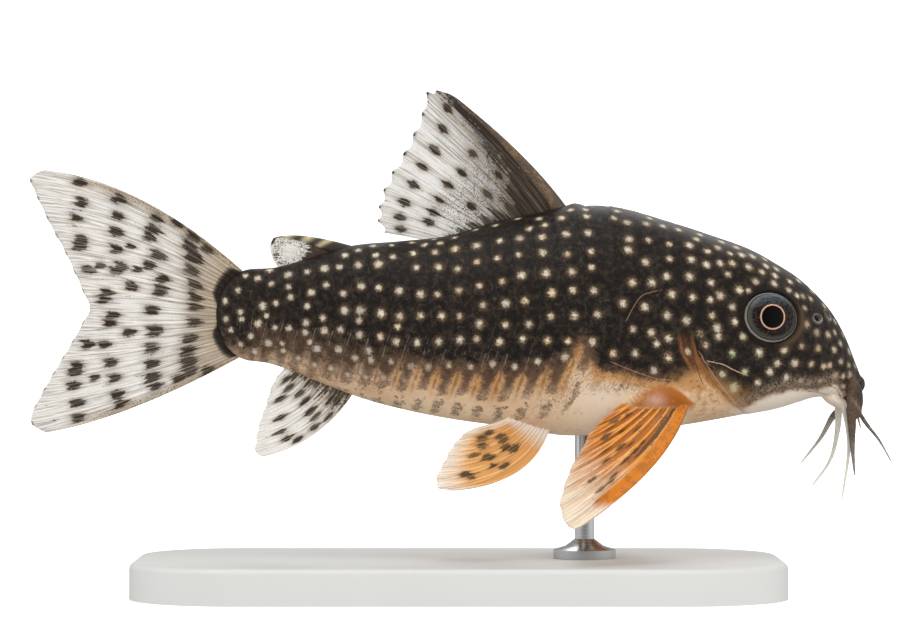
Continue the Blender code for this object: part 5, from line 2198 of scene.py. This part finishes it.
@dataclass
class Fins:
    """All the fins."""

    body: BodyForm
    tail: FinFinish = FinFinish("tail_fin", "bda98d", "efece7", "ccb594", "f5efe6", root="231d19")
    anal: FinFinish = FinFinish("anal_fin", "d3c5b0", "f2efea", "d8c2a4", "f6f1e8", blotch="392d21")
    dorsal: FinFinish = FinFinish(
        "dorsal_fin", "8e8377", "efece7", "8f7a5c", "e6dfd3", line="54483d", spine="594b3f",
        spine_fleck="8f7150", web_alpha=0.8, flecks=0.7)
    adipose: FinFinish = FinFinish(
        "adipose_fin", "4a4036", "ebe6dd", "4a4036", "ece7de", blotch="3a3029", spine="cdbf98",
        spine_fleck="8d7a58", web_alpha=0.9, root="5c4534", threads=0.0, flecks=0.3)
    pectoral: FinFinish = FinFinish(
        "pectoral_fin", "c27430", "f7e6cd", "ea9f43", "f9ead2", line="9a5b20", blotch="62472f",
        halo="b5702f", spine="d27c22", spine_fleck="8c5120", web_alpha=0.9, fray=1.8, flecks=0.45)
    pelvic: FinFinish = FinFinish(
        "pelvic_fin", "e6a661", "f9f1e5", "f0bb78", "fbf4ea", line="b08350", blotch="54402c",
        halo="c68c4c", spine="e0a35e", web_alpha=0.88, root="dbb592", fray=2.2)

    def forms(self) -> dict[str, FanForm | TailForm]:
        """Each fin's form, as its solid has it.

        Returns:
            The forms by name.
        """
        return {
            "tail": TailForm(
                FanForm(stalk_arc(self.body, 0.02, 0.5),
                        Line(((-34.6, 35.35), (-35.2, 35.2), (-35.65, 34.9), (-35.85, 34.5), (-35.5, 33.6),
                              (-34.1, 30.7), (-32.8, 28.3), (-31.7, 25.9), (-30.75, 23.8)), True),
                        9, -1.6, 0.0, 0.6),
                FanForm(stalk_arc(self.body, 0.5, 0.98),
                        Line(((-30.75, 23.8), (-32.2, 21.2), (-33.7, 18.7), (-34.75, 16.9), (-35.6, 15.3),
                              (-35.8, 14.6), (-35.6, 14.0), (-35.0, 13.6), (-34.4, 13.4)), True),
                        9, 0.0, 0.75, 0.6),
            ),
            "dorsal": FanForm(
                Line(((9.4, 31.7), (8.2, 31.3), (-1.2, 29.0))),
                Line(((0.5, 40.8), (-1.9, 42.0), (-2.7, 41.9), (-3.1, 40.1), (-3.8, 38.4), (-4.6, 36.8),
                      (-5.6, 35.2), (-6.3, 33.7), (-6.7, 32.3), (-6.8, 31.1), (-6.2, 30.1)), by_point=True),
                11, -0.46, -0.1, 0.42, spine_share=0.12, spine_taper=0.5, brow=(0.08, 0.22)),
            "adipose": FanForm(
                Line(((-8.0, 28.75), (-14.6, 26.4))),
                Line(((-15.45, 29.65), (-15.7, 29.0), (-15.55, 28.1), (-15.1, 27.3)), True),
                4, -0.5, 0.0, 0.75, spine_share=0.3, spine_taper=0.85),
            "anal": FanForm(
                Line(((-8.5, 17.2), (-14.2, 19.4))),
                Line(((-16.4, 11.4), (-17.0, 11.8), (-16.9, 13.2), (-16.6, 14.5), (-16.2, 15.5),
                      (-15.8, 16.9), (-15.2, 18.1)), True),
                8, 1.08, 0.1),
            "pelvic": FanForm(
                Line(((7.6, 14.1), (4.2, 14.9))),
                Line(((-0.7, 8.95), (-1.7, 9.1), (-1.95, 9.6), (-1.75, 10.4), (-1.3, 11.2), (-0.8, 12.2),
                      (-0.2, 13.0), (0.5, 13.6), (1.3, 13.9)), True),
                8, 1.72, 0.1, 0.38, lateral=pelvic_spread),
            "pectoral": FanForm(
                Line(((19.1, 16.9), (17.6, 17.2), (15.4, 16.7))),
                Line(((9.9, 6.35), (9.0, 6.1), (8.2, 7.1), (8.1, 8.3), (8.9, 10.7), (9.8, 12.2), (10.5, 13.5),
                      (11.4, 14.5), (12.5, 15.3)), True),
                9, 1.35, -0.2, 0.36, spine_share=0.16, lateral=pectoral_spread),
        }

    def tail_looks(self, place: Array, share: Array) -> dict[str, Array]:
        """The tail's tones, its dark scalloped base and its browner edges.

        Args:
            place: places across the fin.
            share: shares along its rays.

        Returns:
            A number for each point, by the name that the finish reads.
        """
        edge = smooth((0.07 - np.minimum(place, 1.0 - place)) / 0.05)
        off = np.abs(place - 0.5)
        scallops = 0.05 + 0.04 * smooth((off - 0.06) / 0.12) * smooth((0.5 - off) / 0.06)
        return {
            "tone": smooth(share * 2.4) * (1.0 - 0.75 * edge * smooth((0.95 - share) / 0.3)),
            "root": smooth((scallops - share) / 0.03),
            "line": blend(0.9, 0.55, smooth(share * 3)) + 0.2 * edge,
            "speck": 0.8 * edge * smooth((0.9 - share) / 0.3),
            "tips": smooth((share - 0.985) / 0.01) * (np.cos(2 * math.pi * place * 16) > 0.9) * 0.8,
        }

    def dorsal_looks(self, place: Array, share: Array) -> dict[str, Array]:
        """The dorsal fin's dark front and base, its grey speckle and its black ray tips.

        Args:
            place: places across the fin.
            share: shares along its rays.

        Returns:
            A number for each point, by the name that the finish reads.
        """
        number = np.where(place < 0.12, place / 0.12, 1 + (place - 0.12) / 0.88 * 9)
        on_tip = np.cos(2 * math.pi * number) > 0.85
        front = 0.85 * smooth((0.03 * (1.0 - 0.6 * share) - place) / 0.02) * smooth((0.97 - share) / 0.1)
        webs = (0.5 - 0.5 * np.cos(2 * math.pi * number)) * (place > 0.12)
        return {
            "tone": smooth(place * 1.6 + 0.9 * share - 0.55),
            "shade": 0.85 * smooth((0.46 - 0.24 * share - place) / 0.2) + smooth((0.25 - share) / 0.2)
            + 0.8 * webs * smooth((0.4 - share) / 0.22),
            "speck": smooth((0.75 - share) / 0.3) * smooth((0.85 - place) / 0.2),
            "line": blend(0.9, 0.55, smooth(place * 2.0)),
            "tips": smooth((share - 0.975) / 0.01) * on_tip * (place > 0.1),
            "front": front,
        }

    def adipose_looks(self, place: Array, share: Array) -> dict[str, Array]:
        """The adipose fin's white middle, speckled margins, banded spine and black tip.

        Args:
            place: places across the fin.
            share: shares along its rays.

        Returns:
            A number for each point, by the name that the finish reads.
        """
        middle = np.hypot((place - 0.45) * 2.0, (share - 0.52) * 2.2)
        pale = sum(hump(share, spot, size) for spot, size in ((0.28, 0.035), (0.47, 0.055), (0.75, 0.09)))
        edge = 0.32 * (1.0 - 0.85 * share)
        hook = smooth((share - 0.9) / 0.04) * smooth((0.3 - place) / 0.1)
        return {
            "tone": np.full(len(place), 1.0),
            "shade": smooth((blend(0.55, 0.22, place) - share) / 0.3) + 0.3 * hump(middle, 0.75, 0.25),
            "speck": (1.5 * hump(middle, 0.75, 0.35) * smooth((0.97 - share) / 0.1)
                      + 0.8 * hump(share, blend(0.5, 0.2, place), 0.08)),
            "root": 0.5 * hump(share, blend(0.3, 0.12, place), 0.08) * smooth((0.9 - place) / 0.2),
            "line": np.zeros(len(place)),
            "front": np.maximum((1.0 - np.clip(pale, 0, 0.95)) * smooth((edge - place) / 0.03), hook),
        }

    def anal_looks(self, place: Array, share: Array) -> dict[str, Array]:
        """The anal fin's dark streaks from the base and its near-white margin.

        Args:
            place: not used.
            share: shares along its rays.

        Returns:
            A number for each point, by the name that the finish reads.
        """
        return {
            "tone": smooth(share * 1.8),
            "shade": 0.7 * smooth((0.4 - share) / 0.3),
            "line": blend(0.9, 0.35, smooth((share - 0.3) / 0.5)),
        }

    def pectoral_looks(self, place: Array, share: Array) -> dict[str, Array]:
        """The pectoral fin's orange, the dark band behind its spine and its whitish tip.

        Args:
            place: places across the fin.
            share: shares along its rays.

        Returns:
            A number for each point, by the name that the finish reads.
        """
        band = hump(place, 0.2, 0.03) * smooth((0.75 - share) / 0.3)
        reach = share * blend(13.5, 3.2, place)
        return {
            "tone": smooth((reach - 5.5) / 6.0) + 0.25 * smooth((share - 0.9) / 0.1),
            "shade": 0.85 * band + 0.2 * smooth((0.7 - share) / 0.3) * (place > 0.16),
            "root": 0.9 * smooth((1.5 - reach) / 0.6) * (place > 0.2),
            "line": blend(0.7, 0.45, share),
            "front": smooth((0.012 - place) / 0.01) * 0.4
            + 0.7 * hump(place, 0.07, 0.03) * hump(share, 0.1, 0.04),
        }

    def pelvic_looks(self, place: Array, share: Array) -> dict[str, Array]:
        """The pelvic fin's orange middle between its whitish base and margin.

        Args:
            place: places across the fin.
            share: shares along its rays.

        Returns:
            A number for each point, by the name that the finish reads.
        """
        orange = smooth((share - 0.05) / 0.25) * smooth((1.05 - share) / 0.35) * smooth((1.05 - place) / 0.35)
        return {"tone": 1.0 - 1.1 * orange, "line": np.full(len(place), 0.55),
                "root": 0.7 * smooth(1.0 - share / 0.1)}

    def build(self) -> None:
        """Makes every fin. Paired fins share a form, and the left ones are held further forward."""
        forms = self.forms()
        Fin("caudal_fin", forms["tail"], ("caudal_fin_upper", "caudal_fin_lower"), Slot.PALE_FIN,
            self.tail.material(), Blotches((
                (-31.5, 34.3), (-31.4, 32.6), (-31.9, 31.3), (-31.4, 29.6), (-31.6, 29.0), (-30.8, 27.0),
                (-29.3, 25.1), (-29.5, 24.5), (-28.8, 23.2), (-29.0, 22.6), (-29.5, 20.8), (-30.8, 20.8),
                (-31.8, 19.0), (-32.0, 18.5), (-32.0, 17.4), (-31.7, 15.9), (-31.7, 14.7), (-28.2, 32.9),
                (-28.3, 31.5), (-28.5, 30.2), (-28.5, 28.7), (-28.1, 27.3), (-28.6, 26.9), (-27.2, 25.6),
                (-27.4, 21.8), (-28.9, 19.3), (-28.6, 18.0), (-28.4, 16.6), (-28.1, 15.9), (-25.1, 31.3),
                (-25.3, 30.4, 1.2), (-25.7, 29.7), (-25.0, 28.2, 1.2), (-25.7, 27.4), (-24.6, 26.3),
                (-24.8, 25.5, 1.1), (-24.9, 25.1), (-25.5, 23.7, 1.1), (-25.2, 22.0, 1.2), (-25.5, 20.5, 1.2),
                (-25.5, 19.2, 1.1), (-25.4, 18.1, 1.2), (-25.2, 17.3), (-23.4, 30.9), (-22.1, 29.7, 1.2),
                (-22.3, 28.9, 1.2), (-22.0, 28.0, 1.3), (-22.2, 26.9, 1.2), (-21.9, 25.7, 1.1), (-21.9, 24.7),
                (-21.9, 23.9), (-21.9, 22.7, 1.1), (-22.3, 21.3, 1.1), (-22.5, 20.3, 1.2), (-22.4, 19.3, 1.3),
                (-22.3, 18.6, 1.2), (-23.2, 18.0), (-20.9, 28.7), (-20.9, 18.7), (-29.8, 27.4, 0.8),
                (-27.3, 29.0, 0.7), (-26.7, 27.0, 0.7), (-30.3, 18.0, 0.7),
            ), 0.85, 0.46, 0.35), self.tail_looks, rows=120, steps=14, notch=0.12,
            ).build()
        Fin("dorsal_fin_web", forms["dorsal"], ("dorsal_fin",), Slot.PALE_FIN, self.dorsal.material(),
            Blotches((
                (-0.9, 40.5), (-1.3, 38.8), (-2.0, 37.0), (-3.0, 35.6), (-3.8, 34.1), (-4.5, 32.6),
                (-4.9, 31.4), (-4.8, 30.4), (1.2, 36.7), (0.3, 35.1), (-0.9, 34.1), (-1.6, 32.8),
                (-2.1, 31.8), (-2.5, 31.0), (3.4, 34.9), (1.1, 32.3), (2.4, 33.3), (5.1, 32.8),
            ), 0.72, 0.44), self.dorsal_looks, notch=0.26, fork=0.12, second_fork=0.05, ray_width=0.55,
            ).build()
        Fin("adipose_fin_web", forms["adipose"], ("adipose_fin",), Slot.PALE_FIN, self.adipose.material(),
            looks=self.adipose_looks, steps=30, rows=60, notch=0.0, fringe=0.02, web_half=0.16, ray_half=0.2,
            spine_half=0.4,
            ).build()
        Fin("anal_fin_web", forms["anal"], ("anal_fin",), Slot.PALE_FIN, self.anal.material(),
            Blotches((
                (-13.7, 18.2), (-14.3, 17.9), (-14.1, 17.2), (-14.8, 16.2), (-12.5, 17.6), (-13.2, 16.7),
                (-12.8, 16.1), (-14.8, 14.7), (-14.8, 13.5), (-14.3, 13.0), (-12.3, 15.2), (-11.9, 14.8),
                (-10.7, 16.2), (-10.1, 16.1), (-12.0, 13.9), (-10.8, 14.8), (-13.4, 12.9),
            ), 0.85, 0.3), self.anal_looks, rows=70, notch=0.1,
            ).build()
        for side, swings in ((Side.RIGHT, (0.0, 0.0)), (Side.LEFT, (7.0, 4.0))):
            name = side.name.lower()
            Fin(f"pectoral_fin_{name}_web", forms["pectoral"], (f"pectoral_fin_{name}",), Slot.ORANGE_FIN,
                self.pectoral.material(), Blotches((
                    (12.7, 14.6), (13.7, 15.0), (12.3, 14.0), (11.9, 13.3), (13.3, 13.7), (13.1, 12.5),
                    (13.9, 12.7), (14.5, 13.9), (15.8, 13.1), (14.3, 12.3), (14.9, 12.9), (13.5, 11.5),
                    (11.9, 11.5, 0.8), (12.6, 10.3), (12.3, 9.8), (10.9, 10.0, 0.8), (11.5, 9.2),
                    (10.6, 9.8, 0.8), (11.3, 8.4, 0.8), (11.9, 12.3),
                ), 0.7, 0.14), self.pectoral_looks, side.value, math.radians(swings[0]), rows=110,
                pleat=0.2, ray_half=0.3, spine_half=0.55, spine_ends=0.84, notch=0.12,
                ).build()
            Fin(f"pelvic_fin_{name}_web", forms["pelvic"], (f"pelvic_fin_{name}",), Slot.ORANGE_FIN,
                self.pelvic.material(), Blotches((
                    (2.5, 13.5), (1.9, 13.1), (3.5, 13.2), (3.7, 12.9), (2.0, 12.5), (3.9, 12.4), (1.3, 11.7),
                    (2.3, 11.6), (2.7, 11.5), (2.8, 10.9), (3.8, 10.9), (4.6, 12.3), (0.6, 10.2), (1.1, 9.9),
                ), 0.65, 0.3, 0.2), self.pelvic_looks, side.value, math.radians(swings[1]), rows=80,
                pleat=0.08, notch=0.1,
                ).build()


@dataclass(frozen=True)
class PaintFinish:
    """Satin pale grey paint with a very slight texture."""

    grey: str = "d2d2cf"
    pale: str = "dadad7"

    def material(self) -> Material:
        """The paint's material.

        Returns:
            The material.
        """
        tree = Tree("stand_paint")
        place = tree.place()
        cloud, texture = tree.noise(place, 0.08, 2.0), tree.noise(place, 3.0, 2.0)
        return tree.finish(Base_Color=tree.mix(cloud, self.grey, self.pale), Roughness=cloud.scaled(0.1, 0.4),
                           Normal=tree.bump(texture, 0.02, 0.4))


@dataclass(frozen=True)
class SteelFinish:
    """Turned steel with fine rings."""

    dark: str = "a9aaab"
    light: str = "c4c5c6"

    def material(self) -> Material:
        """The steel's material.

        Returns:
            The material.
        """
        tree = Tree("stand_steel")
        rings = tree.noise(tree.join(0.0, 0.0, tree.parts(tree.place())[2]), 12.0, 2.0)
        return tree.finish(Base_Color=tree.mix(rings, self.dark, self.light),
                           Roughness=rings.scaled(0.15, 0.18), Metallic=1.0,
                           Normal=tree.bump(rings, 0.01, 0.5))


@dataclass
class Stand:
    """A flat base and one short rod up to the belly."""

    length: float = 54.0
    width: float = 28.0
    height: float = 3.0
    corner: float = 9.0
    edge: float = 0.5
    rod_x: float = 10.5
    rod_radius: float = 0.8
    foot_radius: float = 2.6
    foot_rim: float = 0.4
    waist_radius: float = 1.6
    waist: float = 0.7
    foot_height: float = 1.3
    gap: float = 0.3
    rod_top: float = 14.0

    def build(self) -> None:
        """Makes the base and the rod."""
        plate = bmesh.new()
        place = Matrix.Translation((0, 0, self.height / 2))
        size = Matrix.Diagonal((self.length, self.width, self.height, 1.0))
        bmesh.ops.create_cube(plate, size=1.0, matrix=place @ size)
        corners = [edge for edge in plate.edges if abs(edge.verts[0].co.z - edge.verts[1].co.z) > 0.1]
        bmesh.ops.bevel(plate, geom=corners, offset=self.corner, affect="EDGES", segments=32, profile=0.5,
                        material=-1)
        top = [edge for edge in plate.edges if min(vert.co.z for vert in edge.verts) > self.height - 0.1]
        bmesh.ops.bevel(plate, geom=top, offset=self.edge, affect="EDGES", segments=6, profile=0.5,
                        material=-1)
        mesh = mesh_of(plate, "stand_plate")
        show_piece(mesh, PaintFinish().material(), Slot.PAINT, "stand_base", sharp=40)

        foot = self.height + 0.02
        outline = [
            (0.0, foot), (self.foot_radius, foot), (self.foot_radius, foot + self.foot_rim + self.gap),
            (self.waist_radius, foot + self.waist + self.gap),
            (self.rod_radius, foot + self.foot_height + self.gap),
            (self.rod_radius, self.rod_top), (0.0, self.rod_top),
        ]
        rod = spun("stand_turned_rod", outline, self.rod_x, 64)
        show_piece(rod, SteelFinish().material(), Slot.STEEL, "stand_rod", sharp=30)


@dataclass
class Studio:
    """A pale round sweep, soft light from above and in front, and the camera."""

    aim_x: float = -0.71
    aim_z: float = 23.7
    distance: float = 320.0
    frame_width: float = 75.0
    sensor: float = 36.0
    floor_radius: float = 900.0
    wall_height: float = 700.0
    bend: float = 300.0
    world_front: float = 0.38
    world_sides: float = 0.8

    def camera(self) -> None:
        """A camera at the photograph's angle, square to the fish's right side."""
        lens = bpy.data.cameras.new("camera")
        lens.sensor_width = self.sensor
        lens.lens = self.sensor * self.distance / self.frame_width
        lens.clip_start = 0.01
        camera = bpy.data.objects.new("camera", lens)
        camera.location = (self.aim_x * MM, -self.distance * MM, self.aim_z * MM)
        camera.rotation_euler = (math.pi / 2, 0.0, 0.0)
        bpy.context.scene.collection.objects.link(camera)
        bpy.context.scene.camera = camera

    def light(self, name: str, place: tuple[float, float, float], size: float, power: float) -> None:
        """A round soft light that faces the fish.

        Args:
            name: its name.
            place: where it hangs, in metres.
            size: how wide it is, in metres.
            power: its power in watts.
        """
        lamp = bpy.data.lights.new(name, "AREA")
        lamp.shape = "DISK"
        lamp.size = size
        lamp.energy = power
        obj = bpy.data.objects.new(name, lamp)
        obj.location = place
        aim = Vector((0, 0, self.aim_z * MM)) - Vector(place)
        obj.rotation_euler = aim.to_track_quat("-Z", "Y").to_euler()
        obj.visible_glossy = name != "fill"
        bpy.context.scene.collection.objects.link(obj)

    def backdrop(self) -> None:
        """A round floor that curves up into a low wall."""
        radius, bend = self.floor_radius, self.bend
        angles = [math.pi / 2 * step / 10 for step in range(11)]
        outline = [(0.0, 0.0)]
        outline += [(radius + bend * math.sin(angle), bend * (1 - math.cos(angle))) for angle in angles]
        outline.append((radius + bend, self.wall_height))
        mesh = spun("backdrop", outline, 0.0, 96)
        mesh.flip_normals()
        mesh.transform(Matrix.Scale(MM, 4))
        mesh.shade_smooth()
        tree = Tree("backdrop")
        place = tree.place()
        away = tree.add("ShaderNodeVectorMath", {0: place}, "Value", operation="LENGTH")
        mesh.materials.append(tree.finish(
            Base_Color=tree.mix(tree.noise(place, 0.02, 2.0), "f4f4f4", "f7f7f7"), Roughness=0.9,
            Emission_Color=WHITE, Emission_Strength=away.step(60.0, 400.0).scaled(0.5, 0.35)))
        sweep = object_of(mesh)
        sweep.visible_diffuse = False
        sweep.visible_glossy = False

    def surroundings(self) -> None:
        """A world that is brighter to the left and the right, so that gloss and steel show their form."""
        tree = Tree("studio", world=True)
        across = tree.parts(tree.add("ShaderNodeTexCoord", {}, "Generated"))[0]
        strength = (across * across).scaled(self.world_sides, self.world_front)
        bpy.context.scene.world = tree.finish("Background", Color=WHITE, Strength=strength)

    def build(self) -> None:
        """Sets up the camera, the backdrop and the lights."""
        self.camera()
        self.backdrop()
        self.surroundings()
        bpy.context.scene.view_settings.view_transform = "Standard"
        self.light("key", (-0.1, -0.16, 0.55), 0.4, 1.05)
        self.light("fill", (0.1, -0.6, 0.12), 0.4, 2.1)
        self.light("back", (0.1, 0.4, 0.4), 0.4, 1.0)


def main() -> None:
    """Builds the studio, the fish and its stand."""
    logging.basicConfig(level=logging.INFO, format="%(message)s")
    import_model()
    Studio().build()
    body, scutes, eye = BodyForm(), Scutes(), EyeForm()
    Skin(body, scutes, eye, Markings(body, scutes)).build()
    glass = EyeFinish().material()
    for side in Side:
        Eye(eye, body, side, glass).build()
    Fins(body).build()
    Stand().build()


if __name__ == "__main__":
    main()
